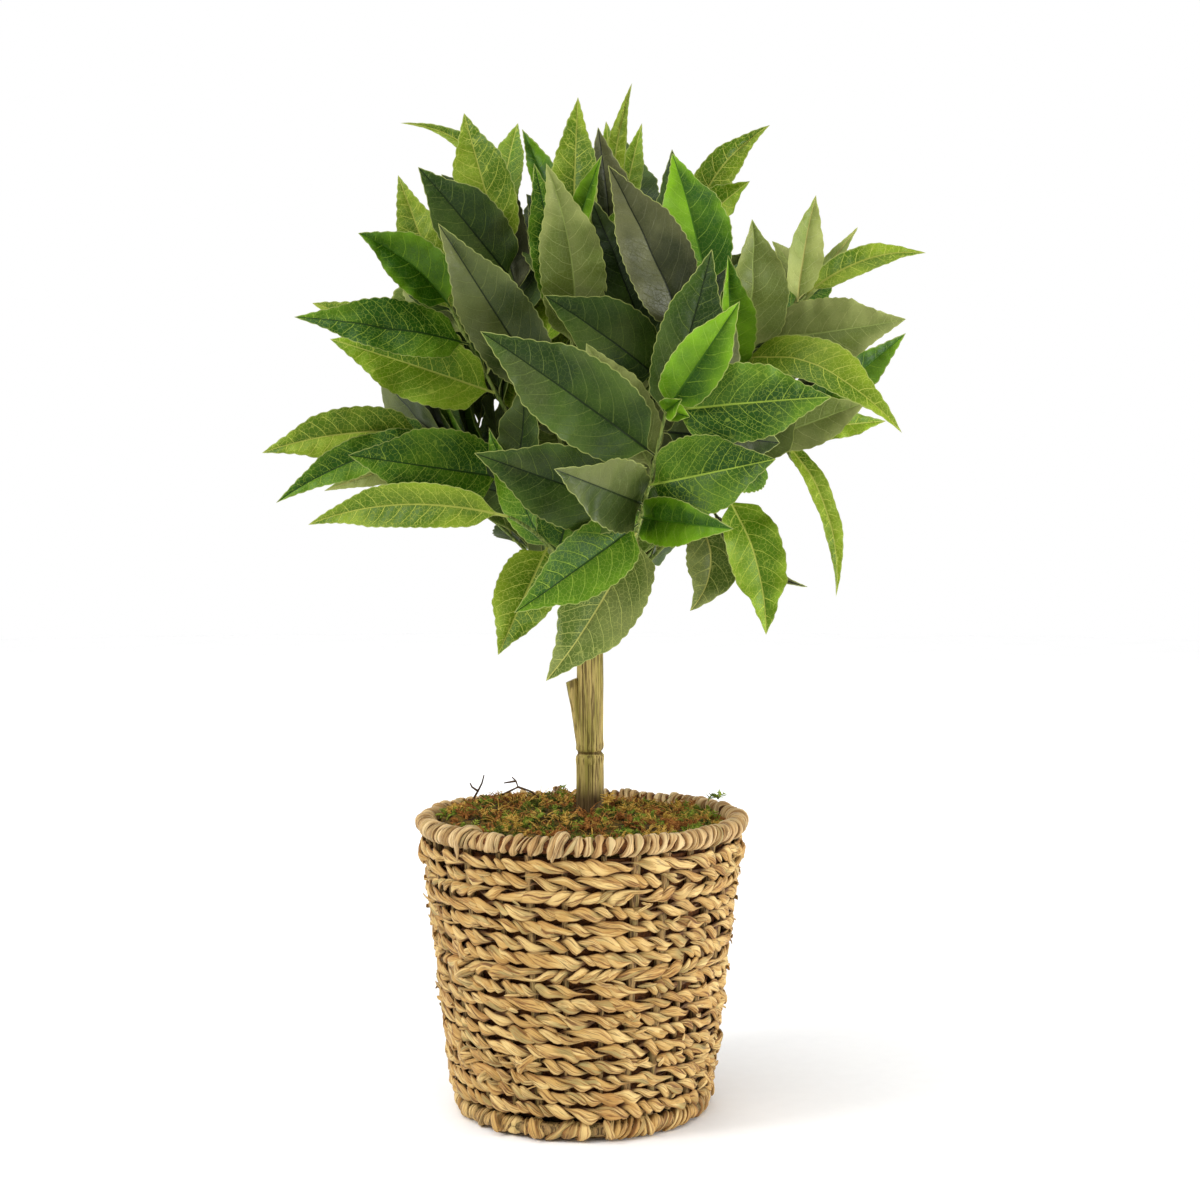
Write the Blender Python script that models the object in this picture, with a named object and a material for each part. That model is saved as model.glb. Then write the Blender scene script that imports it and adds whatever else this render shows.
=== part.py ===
"""Potted bay tree: an artificial clipped bay in a woven seagrass basket.

Blender 4.5, metres, +Z up. The origin is at the centre of the basket's flat
underside, and the front of the tree faces -Y.

Places in the crown are written as they are seen from the front: how far
across and how far up on the upright plane through the trunk, and how far
out before that plane. The function seen() turns them into places in space.
"""

import math
import random
from collections import namedtuple

import bmesh
import bpy
from mathutils import Matrix, Vector, noise
from mathutils.bvhtree import BVHTree

MM = 0.001
GAP = 0.0003
UP = Vector((0.0, 0.0, 1.0))
FRONT = Vector((0.0, -1.0, 0.0))

# The viewer that the places in the crown are told for
EYE_DISTANCE = 0.960
EYE_ACROSS = 0.009
EYE_HEIGHT = 0.2915

# Basket
FOOT_RADIUS = 0.0645
FOOT_HEIGHT = 0.0110
SHOULDER_RADIUS = 0.0800
WALL_TOP = 0.1350
WALL_THICKNESS = 0.0090
WALL_SEGMENTS = 26
WALL_SMOOTH_ANGLE = 80.0
ROPE_ROWS = 17
ROPE_DEPTH = 0.0022
RIM_RADIUS = 0.0775
RIM_THICKNESS = 0.0112
RIM_WRAPS = 40
FOOT_WRAPS = 30
WRAP_DEPTH = 0.0007
WRAP_SIDES = 6
FLOOR_THICKNESS = 0.0060
FILL_TOP = 0.1280

# Moss
MOSS_EDGE_HEIGHT = 0.1385
MOSS_MIDDLE_HEIGHT = 0.1470
MOSS_LUMP = 0.0022
MOSS_LUMP_SPACING = 0.012
MOSS_RINGS = 5
MOSS_SEGMENTS = 28

# Trunk
TRUNK_ACROSS = 0.0040
TRUNK_SIDES = 12
TRUNK_FOOT_RADIUS = 0.0076
TRUNK_TOP_RADIUS = 0.0062
TRUNK_TOP = 0.2470
TRUNK_FLARE = (0.1510, 0.0071)
BELOW_NODE = (0.1705, 0.0070)
NODE_EDGE = (0.1742, 0.0068)
NODE_PINCH = (0.1755, 0.0060)
ABOVE_NODE = (0.1768, 0.0067)
TRUNK_MIDDLE = (0.2112, 0.0066)
STUB_RADIUS = 0.0025
STUB_FOOT = Vector((0.0005, -0.0010, 0.1740))
STUB_TOP = Vector((-0.0052, -0.0012, 0.2115))
STUB_SLANT = 0.0030
STUB_SIDES = 8

# Boughs and stems
BOUGH_SIDES = 6
BOUGH_RADIUS = 0.00120
BOUGH_TIP_RADIUS = 0.00110
BOUGH_STATIONS = 6
BOUGH_RISE = 0.026
BOUGH_LEAN = 0.004
SIDE_BOUGH_REACH = 0.012
SIDE_BOUGH_RISE = 0.006
LIMB_MARGIN = 0.0001
OUTER_RING = 0.0044
INNER_RING = 0.0019
SHOOT_DROP = 0.0045
LOW_SHOOT_DROP = 0.0105
STEM_SIDES = 5
STEM_RADIUS = 0.00115
STEM_TIP_RADIUS = 0.00075
STEM_STATIONS = 6

# Leaves
BLADE_THICKNESS = 0.00105
BLADE_STATIONS = (0.0, 0.18, 0.42, 0.74)
BLADE_RISE = 0.62
BLADE_FALL = 0.85
STALK_HALF_WIDTH = 0.0009
TEST_THICKNESS = 0.0022
TEST_START = 0.16
TURNS_TO_TRY = (0, 10, -10, 20, -20, 32, -32, 45, -45)
SHIFTS_TO_TRY = (0, 6, -6, 12, -12, 18, -18, 24, -24)
TURN_COST = 1.5
FACE_RISE = 0.35
NAMED_FOLD = 0.22

# Filling leaves, set by a seeded rule
FILL_TRIES = 18
FILL_START = 0.3
FILL_LENGTH = (0.076, 0.098)
FILL_WIDTH = (0.36, 0.42)
FILL_LEAN = (78.0, 26.0)
FILL_LEAN_SPREAD = 10.0
FILL_ROLL = 18.0
FILL_BOW = (0.02, 0.11)
FILL_SWAY = 0.07
FILL_FOLD = (0.12, 0.34)
GOLDEN_ANGLE = math.radians(137.5)
NEXT_TRY = 0.37
TURN_SPREAD = 0.3

# The space that the filling leaves keep to, seen from the crown's middle
CROWN_MIDDLE = Vector((0.006, 0.0, 0.360))
CROWN_REACH = Vector((0.135, 0.165, 0.135))
CROWN_FLOOR = 0.240
CROWN_SKIRT = 0.298
HANGING_REACH = 0.040
OPEN_FRONT = -0.035
HEART_MIDDLE = (0.002, 0.365)
HEART_REACH = (0.100, 0.095)
SAMPLE_SHARES = (0.4, 0.6, 0.8, 1.0)

# Colours
SEAGRASS = (0.52, 0.36, 0.17)
RIM_SEAGRASS = (0.50, 0.41, 0.26)
FILL_BROWN = (0.16, 0.12, 0.08)
MOSS_GREEN = (0.14, 0.16, 0.04)
BARK_BROWN = (0.29, 0.23, 0.10)
SHOOT_GREEN = (0.25, 0.33, 0.10)
LEAF_GREEN = (0.08, 0.19, 0.04)

Leaf = namedtuple("Leaf", "share across up out width face sway bow", defaults=(0.6, 0.0, 0.06))
Spray = namedtuple("Spray", "name spring root bend tip fillers leaves")
Blade = namedtuple("Blade", "root tip normal width bow sway fold")

# Each spray: how it springs from the trunk, three places along its stem,
# how many filling leaves to try, and the leaves that show from the front.
# A leaf: its share of the way up the stem, the place of its tip, its width,
# then how far it is turned to the front, its sideways sway and its bow.
SPRAYS = (
    Spray("foliage_front", "side", (22, 268, 52), (30, 292, 104), (42, 346, 112), 6, (
        Leaf(0.78, -51, 386, 122, 38),
        Leaf(0.46, -54, 325, 122, 37),
        Leaf(0.50, -14, 317, 156, 32),
        Leaf(0.62, 97, 322, 126, 36),
        Leaf(0.42, 76, 287, 142, 22),
        Leaf(0.38, -34, 245, 128, 30),
        Leaf(0.32, -18, 211, 100, 35, 0.6, -0.03),
        Leaf(0.90, 99, 330, 88, 34),
        Leaf(1.00, 125, 353, 110, 35),
        Leaf(1.00, 79, 401, 130, 24),
        Leaf(0.93, 65, 427, 104, 28),
        Leaf(0.70, 2, 380, 104, 28),
        Leaf(1.00, 50, 352, 128, 10),
        Leaf(1.00, 54, 343, 122, 9),
    )),
    Spray("foliage_low_left", "trunk", (-2, 266, 46), (-6, 288, 80), (-36, 293, 80), 4, (
        Leaf(0.66, -42, 224, 96, 29),
        Leaf(1.00, -137, 289, 50, 21, 0.6, 0.08),
    )),
    Spray("foliage_left", "side", (-18, 290, 26), (-36, 318, 44), (-78, 335, 30), 6, (
        Leaf(0.45, -117, 324, 86, 38, 0.9),
        Leaf(0.25, -81, 316, 32, 26),
        Leaf(1.00, -160, 325, 34, 25, 0.8, 0.05),
        Leaf(0.92, -153, 300, 48, 19, 0.6, 0.05),
        Leaf(0.80, -129, 306, 26, 14),
    )),
    Spray("foliage_upper_left", "outer", (-18, 310, 18), (-44, 356, 36), (-66, 398, 40), 6, (
        Leaf(0.50, -126, 382, 44, 34),
        Leaf(0.78, -144, 393, 58, 28),
        Leaf(0.66, -135, 400, 12, 24),
        Leaf(1.00, -112, 435, 56, 26, 0.6, 0.07),
        Leaf(0.94, -92, 464, 38, 22),
    )),
    Spray("foliage_top_left", "outer", (-8, 322, 32), (-24, 376, 62), (-42, 434, 48), 6, (
        Leaf(0.32, -72, 440, 92, 33),
        Leaf(0.80, -82, 468, 70, 32),
        Leaf(0.90, -59, 495, 46, 28),
        Leaf(1.00, -91, 490, 22, 9, 0.6, 0.20),
        Leaf(0.70, -48, 478, 26, 24),
        Leaf(1.00, -32, 490, 20, 18),
    )),
    Spray("foliage_top_front", "outer", (0, 322, 40), (-8, 376, 72), (-4, 430, 60), 5, (
        Leaf(0.50, -18, 470, 98, 30, 0.8, 0.06),
        Leaf(0.58, -24, 470, 80, 22),
        Leaf(0.85, -2, 503, 50, 22),
        Leaf(1.00, 10, 474, 68, 12),
        Leaf(0.95, -30, 487, 36, 14),
    )),
    Spray("foliage_top", "inner", (8, 330, 10), (12, 380, 14), (16, 434, 12), 6, (
        Leaf(0.85, 8, 488, 42, 26),
        Leaf(1.00, 25, 510, 24, 10, 0.6, -0.05),
        Leaf(1.00, 12, 491, 4, 14),
        Leaf(0.90, 30, 490, -10, 14),
    )),
    Spray("foliage_crest", "inner", (14, 330, -4), (36, 392, 2), (56, 440, 8), 5, (
        Leaf(0.90, 94, 489, 14, 18, 0.9, -0.10),
        Leaf(0.95, 84, 461, 36, 20),
        Leaf(0.70, 45, 477, 26, 26),
    )),
    Spray("foliage_top_right", "outer", (14, 318, 44), (36, 362, 78), (66, 410, 74), 5, (
        Leaf(0.50, -19, 404, 96, 35),
        Leaf(0.74, 13, 469, 92, 34),
        Leaf(0.50, 3, 455, 74, 24),
        Leaf(0.95, 45, 475, 74, 31),
    )),
    Spray("foliage_upper_right", "outer", (26, 316, 18), (66, 360, 36), (112, 404, 34), 6, (
        Leaf(0.50, 73, 424, 90, 22),
        Leaf(0.66, 85, 442, 60, 34),
        Leaf(0.95, 117, 454, 44, 18, 0.6, -0.05),
        Leaf(1.00, 95, 431, 46, 18),
        Leaf(0.90, 138, 438, 12, 8),
        Leaf(1.00, 172, 425, 20, 14, 0.6, -0.09),
        Leaf(0.76, 162, 392, 50, 32, 0.8, 0.03),
        Leaf(0.62, 160, 335, 68, 26, 0.5, 0.0, 0.24),
    )),
    Spray("foliage_right", "side", (28, 292, 26), (62, 322, 48), (102, 336, 46), 6, (
        Leaf(1.00, 152, 341, 28, 13),
        Leaf(0.85, 143, 351, 38, 22),
        Leaf(0.95, 127, 253, 56, 12, 0.5, -0.10),
        Leaf(0.95, 162, 385, 20, 20),
        Leaf(1.00, 107, 318, 54, 8),
    )),
    Spray("foliage_low_right", "trunk", (22, 268, 30), (46, 290, 56), (72, 304, 60), 4, (
        Leaf(1.00, 92, 234, 64, 27, 0.6, -0.06),
        Leaf(0.90, 113, 258, 44, 8, 0.6, 0.12),
        Leaf(0.80, 54, 246, 66, 26, 0.6, -0.18),
    )),
    Spray("foliage_side_left", "side", (-20, 290, -8), (-52, 330, -20), (-70, 372, -26), 14, ()),
    Spray("foliage_side_right", "side", (26, 290, -6), (58, 324, -18), (84, 352, -26), 15, ()),
    Spray("foliage_back_left", "outer", (-12, 312, -26), (-40, 362, -50), (-58, 396, -66), 14, ()),
    Spray("foliage_back_right", "outer", (20, 312, -26), (50, 362, -50), (64, 396, -66), 16, ()),
    Spray("foliage_back", "side", (4, 290, -34), (2, 322, -68), (6, 350, -90), 14, ()),
    Spray("foliage_back_top", "inner", (4, 334, -16), (2, 390, -30), (0, 412, -44), 16, ()),
    Spray("foliage_low_back_left", "trunk", (-12, 268, -26), (-34, 288, -50), (-54, 298, -68), 12, ()),
    Spray("foliage_low_back_right", "trunk", (20, 268, -26), (42, 288, -50), (58, 298, -68), 14, ()),
)


def clear_scene():
    """Start with an empty scene."""
    for thing in list(bpy.data.objects):
        bpy.data.objects.remove(thing, do_unlink=True)


def finish_material(name, colour, roughness):
    """Make a plain material with the part's colour."""
    material = bpy.data.materials.new(name)
    material.use_nodes = True
    shader = material.node_tree.nodes["Principled BSDF"]
    shader.inputs["Base Color"].default_value = (*colour, 1.0)
    shader.inputs["Roughness"].default_value = roughness
    material.diffuse_color = (*colour, 1.0)
    return material


def seen(across, up, out):
    """Turn a place seen from the front, in millimetres, into a place in space."""
    nearer = (EYE_DISTANCE - out * MM) / EYE_DISTANCE
    x = EYE_ACROSS + (across * MM - EYE_ACROSS) * nearer
    z = EYE_HEIGHT + (up * MM - EYE_HEIGHT) * nearer
    return Vector((x, -out * MM, z))


def mix(low, high, share):
    """The value that lies a share of the way from low to high."""
    return low + (high - low) * share


def skin(rings):
    """Close a skin over rings of points; a ring of one point is a sharp end."""
    points = [point for ring in rings for point in ring]
    faces = []
    start = 0
    for ring, following in zip(rings, rings[1:]):
        after = start + len(ring)
        for k in range(len(ring)):
            n = (k + 1) % len(ring)
            if len(following) == 1:
                faces.append((start + k, start + n, after))
            else:
                faces.append((start + k, start + n, after + n, after + k))
        start = after
    faces.append(tuple(reversed(range(len(rings[0])))))
    if len(rings[-1]) > 1:
        faces.append(tuple(range(start, start + len(rings[-1]))))
    return points, faces


def mesh_object(name, points, faces, material):
    """Make an object of a closed skin, its faces pointing out."""
    mesh = bpy.data.meshes.new(name)
    bm = bmesh.new()
    corners = [bm.verts.new(point) for point in points]
    for face in faces:
        bm.faces.new([corners[k] for k in face])
    bmesh.ops.recalc_face_normals(bm, faces=bm.faces[:])
    bmesh.ops.triangulate(bm, faces=bm.faces[:])
    bm.to_mesh(mesh)
    bm.free()
    return link_object(name, mesh, material)


def link_object(name, mesh, material):
    """Put a mesh in the scene under its name."""
    thing = bpy.data.objects.new(name, mesh)
    mesh.materials.append(material)
    bpy.context.scene.collection.objects.link(thing)
    return thing


def turned(name, profile, material):
    """Spin a closed profile of (radius, height) pairs about the upright axis."""
    bm = bmesh.new()
    corners = [bm.verts.new((radius, 0.0, height)) for radius, height in profile]
    edges = [bm.edges.new((a, b)) for a, b in zip(corners, corners[1:] + corners[:1])]
    bmesh.ops.spin(bm, geom=corners + edges, cent=(0, 0, 0), axis=(0, 0, 1),
                   angle=math.tau, steps=WALL_SEGMENTS, use_merge=True)
    bmesh.ops.remove_doubles(bm, verts=bm.verts[:], dist=1e-6)
    bmesh.ops.recalc_face_normals(bm, faces=bm.faces[:])
    bmesh.ops.triangulate(bm, faces=bm.faces[:])
    mesh = bpy.data.meshes.new(name)
    bm.to_mesh(mesh)
    bm.free()
    thing = link_object(name, mesh, material)
    mesh.shade_smooth()
    mesh.set_sharp_from_angle(angle=math.radians(WALL_SMOOTH_ANGLE))
    return thing


def wall_radius(height):
    """Outer radius of the basket's wall at a height, at the crest of a rope."""
    share = (height - FOOT_HEIGHT) / (WALL_TOP - FOOT_HEIGHT)
    return mix(FOOT_RADIUS, SHOULDER_RADIUS, share)


def basket_wall(material):
    """Rows of rope, one above the other, on a slightly flared wall."""
    low = FOOT_HEIGHT + GAP
    pitch = (WALL_TOP - low) / ROPE_ROWS
    profile = [(wall_radius(low) - WALL_THICKNESS, low)]
    profile.append((wall_radius(low) - ROPE_DEPTH, low))
    for row in range(ROPE_ROWS):
        crest = low + pitch * (row + 0.5)
        valley = low + pitch * (row + 1)
        profile.append((wall_radius(crest), crest))
        profile.append((wall_radius(valley) - ROPE_DEPTH, valley))
    profile.append((wall_radius(WALL_TOP) - WALL_THICKNESS, WALL_TOP))
    return turned("basket_wall", profile, material)


def wrapped_ring(name, radius, low, half_width, height, wraps, material):
    """A ring of fibre wrapped round and round, each wrap standing a little proud."""
    steps = wraps * 2
    half_height = height / 2
    points = []
    for step in range(steps):
        swell = WRAP_DEPTH if step % 2 else 0.0
        turn = math.tau * step / steps
        for side in range(WRAP_SIDES):
            angle = math.tau * side / WRAP_SIDES
            reach = radius + (half_width - swell) * math.cos(angle)
            rise = (half_height - swell) * math.sin(angle) / math.sin(math.tau / WRAP_SIDES)
            points.append(Vector((reach * math.cos(turn), reach * math.sin(turn),
                                  low + half_height + rise)))
    faces = []
    for step in range(steps):
        ahead = (step + 1) % steps
        for side in range(WRAP_SIDES):
            beside = (side + 1) % WRAP_SIDES
            faces.append((step * WRAP_SIDES + side, ahead * WRAP_SIDES + side,
                          ahead * WRAP_SIDES + beside, step * WRAP_SIDES + beside))
    return mesh_object(name, points, faces, material)


def basket_rim(material):
    """The wrapped rim on top of the wall."""
    return wrapped_ring("basket_rim", RIM_RADIUS, WALL_TOP + GAP, RIM_THICKNESS / 2,
                        RIM_THICKNESS, RIM_WRAPS, material)


def basket_foot(material):
    """The wrapped foot that the basket stands on, flat underneath."""
    half_width = (FOOT_RADIUS - floor_radius() - GAP) / 2
    return wrapped_ring("basket_foot", FOOT_RADIUS - half_width, 0.0, half_width,
                        FOOT_HEIGHT, FOOT_WRAPS, material)


def floor_radius():
    """Radius of the basket's floor, inside its foot."""
    return FOOT_RADIUS - WALL_THICKNESS - 2 * GAP


def basket_floor(material):
    """The flat woven floor."""
    radius = floor_radius()
    profile = [(0.0, 0.0), (radius, 0.0), (radius, FLOOR_THICKNESS), (0.0, FLOOR_THICKNESS)]
    return turned_solid("basket_floor", profile, material)


def turned_solid(name, profile, material):
    """Turn an open profile whose ends lie on the axis."""
    bm = bmesh.new()
    corners = [bm.verts.new((radius, 0.0, height)) for radius, height in profile]
    edges = [bm.edges.new((a, b)) for a, b in zip(corners, corners[1:])]
    bmesh.ops.spin(bm, geom=corners + edges, cent=(0, 0, 0), axis=(0, 0, 1),
                   angle=math.tau, steps=WALL_SEGMENTS, use_merge=True)
    bmesh.ops.remove_doubles(bm, verts=bm.verts[:], dist=1e-6)
    bmesh.ops.dissolve_limit(bm, angle_limit=math.radians(1), verts=bm.verts[:], edges=bm.edges[:])
    bmesh.ops.recalc_face_normals(bm, faces=bm.faces[:])
    bmesh.ops.triangulate(bm, faces=bm.faces[:])
    mesh = bpy.data.meshes.new(name)
    bm.to_mesh(mesh)
    bm.free()
    return link_object(name, mesh, material)


def potting_fill(material):
    """The filling of the basket, which holds the trunk up."""
    low = FLOOR_THICKNESS + GAP
    low_radius = floor_radius() - GAP
    top_radius = wall_radius(FILL_TOP) - WALL_THICKNESS - 2 * GAP
    profile = [(0.0, low), (low_radius, low), (top_radius, FILL_TOP), (0.0, FILL_TOP)]
    return turned_solid("potting_fill", profile, material)


def moss_bed(material):
    """A lumpy layer of moss on the filling, with a hole for the trunk."""
    low = FILL_TOP + GAP
    inner = TRUNK_FOOT_RADIUS + 2 * GAP
    outer = wall_radius(FILL_TOP) - WALL_THICKNESS - 2 * GAP
    middle = Vector((TRUNK_ACROSS, 0.0, 0.0))
    rings = []
    for ring in range(MOSS_RINGS + 1):
        share = ring / MOSS_RINGS
        centre = middle * (1.0 - share)
        radius = mix(inner, outer, share)
        points = []
        for k in range(MOSS_SEGMENTS):
            turn = math.tau * k / MOSS_SEGMENTS
            place = centre + Vector((radius * math.cos(turn), radius * math.sin(turn), 0.0))
            lump = noise.noise(place / MOSS_LUMP_SPACING) * MOSS_LUMP
            place.z = mix(MOSS_MIDDLE_HEIGHT, MOSS_EDGE_HEIGHT, share) + lump
            points.append(place)
        rings.append(points)
    under = [[Vector((p.x, p.y, low)) for p in rings[k]] for k in (-1, 0)]
    loop = rings + under
    points = [point for ring in loop for point in ring]
    faces = []
    for ring in range(len(loop)):
        after = (ring + 1) % len(loop)
        for k in range(MOSS_SEGMENTS):
            n = (k + 1) % MOSS_SEGMENTS
            faces.append((ring * MOSS_SEGMENTS + k, ring * MOSS_SEGMENTS + n,
                          after * MOSS_SEGMENTS + n, after * MOSS_SEGMENTS + k))
    return mesh_object("moss_bed", points, faces, material)


def round_ring(centre, ahead, across, radius, sides):
    """Points of a ring round a centre, square to the way ahead, the first one across."""
    turns = [Matrix.Rotation(math.tau * k / sides, 3, ahead) for k in range(sides)]
    return [centre + (turn @ across) * radius for turn in turns]


def trunk_rings():
    """Rings of the trunk from its flat foot, past the node, to its flat top."""
    stations = (
        (FILL_TOP + GAP, TRUNK_FOOT_RADIUS),
        TRUNK_FLARE,
        BELOW_NODE,
        NODE_EDGE,
        NODE_PINCH,
        ABOVE_NODE,
        TRUNK_MIDDLE,
        (TRUNK_TOP, TRUNK_TOP_RADIUS),
    )
    return [round_ring(Vector((TRUNK_ACROSS, 0.0, height)), UP, FRONT, radius, TRUNK_SIDES)
            for height, radius in stations]


def trunk(material):
    """The trunk with the cut stub of a side shoot fused to it."""
    main = mesh_object("trunk", *skin(trunk_rings()), material)
    ahead = (STUB_TOP - STUB_FOOT).normalized()
    across = ahead.orthogonal().normalized()
    rings = [round_ring(place, ahead, across, STUB_RADIUS, STUB_SIDES)
             for place in (STUB_FOOT, STUB_TOP)]
    for point in rings[1]:
        point.z += (point.x - STUB_TOP.x) / STUB_RADIUS * STUB_SLANT
    stub = mesh_object("stub", *skin(rings), material)
    return fuse(main, [stub])


def fuse(main, others):
    """Join closed solids to the main one by one union, and keep the largest body."""
    holder = bpy.data.collections.new(main.name + "_joined")
    bpy.context.scene.collection.children.link(holder)
    for thing in others:
        bpy.context.scene.collection.objects.unlink(thing)
        holder.objects.link(thing)
    union = main.modifiers.new("union", "BOOLEAN")
    union.operation = "UNION"
    union.operand_type = "COLLECTION"
    union.collection = holder
    union.solver = "MANIFOLD"
    graph = bpy.context.evaluated_depsgraph_get()
    joined = bpy.data.meshes.new_from_object(main.evaluated_get(graph))
    main.modifiers.remove(union)
    for thing in others:
        bpy.data.objects.remove(thing, do_unlink=True)
    bpy.data.collections.remove(holder)
    keep_largest(joined)
    main.data = joined
    return main


def keep_largest(mesh):
    """Drop loose scraps and filled hollows: only the body with the most points stays."""
    bm = bmesh.new()
    bm.from_mesh(mesh)
    unseen = set(bm.verts)
    bodies = []
    while unseen:
        body = set()
        edge_of_body = [unseen.pop()]
        while edge_of_body:
            vert = edge_of_body.pop()
            body.add(vert)
            for edge in vert.link_edges:
                other = edge.other_vert(vert)
                if other in unseen:
                    unseen.remove(other)
                    edge_of_body.append(other)
        bodies.append(body)
    bodies.sort(key=len)
    scraps = [vert for body in bodies[:-1] for vert in body]
    bmesh.ops.delete(bm, geom=scraps, context="VERTS")
    bmesh.ops.triangulate(bm, faces=bm.faces[:])
    bm.to_mesh(mesh)
    bm.free()


def curve_point(start, bend, end, share):
    """A point on the smooth curve from start to end, drawn towards bend."""
    return start.lerp(bend, share).lerp(bend.lerp(end, share), share)


def stem_point(line, share):
    """A point on the stem as it is built, from straight pieces along its curve."""
    steps = STEM_STATIONS - 1
    step = min(int(share * steps), steps - 1)
    low = curve_point(*line, step / steps)
    high = curve_point(*line, (step + 1) / steps)
    return low.lerp(high, share * steps - step)


def tapered(start, bend, end, heading, radii, sides, stations):
    """Rings of one tapering limb along a smooth curve, its end square to the heading."""
    rings = []
    across = (bend - start).orthogonal().normalized()
    for k in range(stations):
        share = k / (stations - 1)
        ahead = (bend.lerp(end, share) - start.lerp(bend, share)).normalized()
        if k == stations - 1:
            ahead = heading
        across = (across - ahead * across.dot(ahead)).normalized()
        radius = mix(radii[0], radii[1], share)
        rings.append(round_ring(curve_point(start, bend, end, share), ahead, across, radius, sides))
    return rings


def stem_rings(spray, radii):
    """Rings of a spray's stem."""
    start, bend, end = spray_line(spray)
    heading = (end - bend).normalized()
    return tapered(start, bend, end, heading, radii, STEM_SIDES, STEM_STATIONS)


def spray_line(spray):
    """The three places that a spray's stem is drawn through."""
    root, bend, tip = seen(*spray.root), seen(*spray.bend), seen(*spray.tip)
    if spray.spring == "trunk":
        height = TRUNK_TOP - LOW_SHOOT_DROP
        bend = root.lerp(bend, 0.5)
        ahead = (bend - Vector((TRUNK_ACROSS, 0.0, height))).normalized()
        outward = Vector((root.x - TRUNK_ACROSS, root.y, 0.0)).normalized()
        root = beside_trunk(outward, height, ahead, STEM_RADIUS)
    return root, bend, tip


def beside_trunk(outward, height, ahead, radius):
    """Where a limb that springs from the trunk's flank starts, clear of the bark."""
    share = (height - TRUNK_MIDDLE[0]) / (TRUNK_TOP - TRUNK_MIDDLE[0])
    bark = mix(TRUNK_MIDDLE[1], TRUNK_TOP_RADIUS, share)
    reach = bark + GAP + radius * abs(ahead.z)
    return Vector((TRUNK_ACROSS, 0.0, height)) + outward * reach


def bough_lines():
    """Each bough's start on the trunk, bend, end at its spray's stem, and heading there."""
    lines = {}
    for ring in ("outer", "inner", "side"):
        group = [spray for spray in SPRAYS if spray.spring == ring]
        group.sort(key=lambda spray: azimuth(seen(*spray.root)))
        spread = circular_fit([azimuth(seen(*spray.root)) for spray in group])
        for spray, turn in zip(group, spread):
            outward = Vector((math.cos(turn), math.sin(turn), 0.0))
            root, bend, _ = spray_line(spray)
            heading = (bend - root).normalized()
            end = root - heading * GAP
            if ring == "side":
                lean = outward * SIDE_BOUGH_REACH + UP * SIDE_BOUGH_RISE
                foot = beside_trunk(outward, TRUNK_TOP - SHOOT_DROP, lean.normalized(), BOUGH_RADIUS)
                middle = foot + lean
            else:
                foot = Vector((TRUNK_ACROSS, 0.0, TRUNK_TOP + GAP))
                foot += outward * (OUTER_RING if ring == "outer" else INNER_RING)
                middle = foot + UP * BOUGH_RISE + outward * BOUGH_LEAN
            lines[spray.name] = (foot, middle, end, heading)
    return lines


def azimuth(place):
    """Direction of a place round the trunk."""
    return math.atan2(place.y, place.x - TRUNK_ACROSS)


def circular_fit(turns):
    """Even steps round the circle that follow sorted directions as well as they can."""
    count = len(turns)
    step = math.tau / max(count, 1)
    offset = sum(turn - k * step for k, turn in enumerate(turns)) / max(count, 1)
    return [offset + k * step for k in range(count)]


def bough(name, line, material):
    """One tapering bough."""
    radii = (BOUGH_RADIUS, BOUGH_TIP_RADIUS)
    rings = tapered(*line, radii, BOUGH_SIDES, BOUGH_STATIONS)
    return mesh_object(name, *skin(rings), material)


def blade_outline(share):
    """Half width of a blade, as a share of its widest, along its length."""
    widest = BLADE_RISE / (BLADE_RISE + BLADE_FALL)
    peak = widest ** BLADE_RISE * (1.0 - widest) ** BLADE_FALL
    return share ** BLADE_RISE * (1.0 - share) ** BLADE_FALL / peak


def blade_rings(blade, thickness, start=0.0):
    """Rings of four points along a blade: left edge, upper rib, right edge, lower rib."""
    chord = blade.tip - blade.root
    length = chord.length
    side = chord.cross(blade.normal).normalized()
    rings = []
    for share in BLADE_STATIONS:
        share = max(share, start)
        arch = (blade.normal * blade.bow + side * blade.sway) * length
        centre = blade.root + chord * share + arch * (4.0 * share * (1.0 - share))
        slope = chord + arch * (4.0 * (1.0 - 2.0 * share))
        face = side.cross(slope).normalized()
        beside = slope.cross(face).normalized()
        half = max(blade.width / 2 * blade_outline(share), STALK_HALF_WIDTH)
        edge = face * (half * blade.fold)
        rib = face * (thickness / 2)
        rings.append((centre + beside * half + edge, centre + rib,
                      centre - beside * half + edge, centre - rib))
    rings.append((blade.tip,))
    return rings


def blade_samples(blade):
    """Places along the middle and both edges of a blade's outer part."""
    half = (blade.tip - blade.root).cross(blade.normal).normalized() * (blade.width / 2)
    places = []
    for share in SAMPLE_SHARES:
        middle = blade.root.lerp(blade.tip, share)
        reach = half * blade_outline(share)
        places.extend((middle - reach, middle, middle + reach))
    return places


def blade_tree(blade, start=0.0):
    """A slightly thickened copy of a blade, to test what it would touch."""
    return BVHTree.FromPolygons(*skin(blade_rings(blade, TEST_THICKNESS, start)))


def blade_normal(root, tip, face, roll):
    """The way a blade's upper side faces: outward and up, drawn to the front, and rolled."""
    chord = (tip - root).normalized()
    outward = (root.lerp(tip, 0.5) - CROWN_MIDDLE).normalized() + UP * FACE_RISE
    facing = outward.lerp(FRONT, face)
    normal = (facing - chord * facing.dot(chord)).normalized()
    return Matrix.Rotation(math.radians(roll), 3, chord) @ normal


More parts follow.
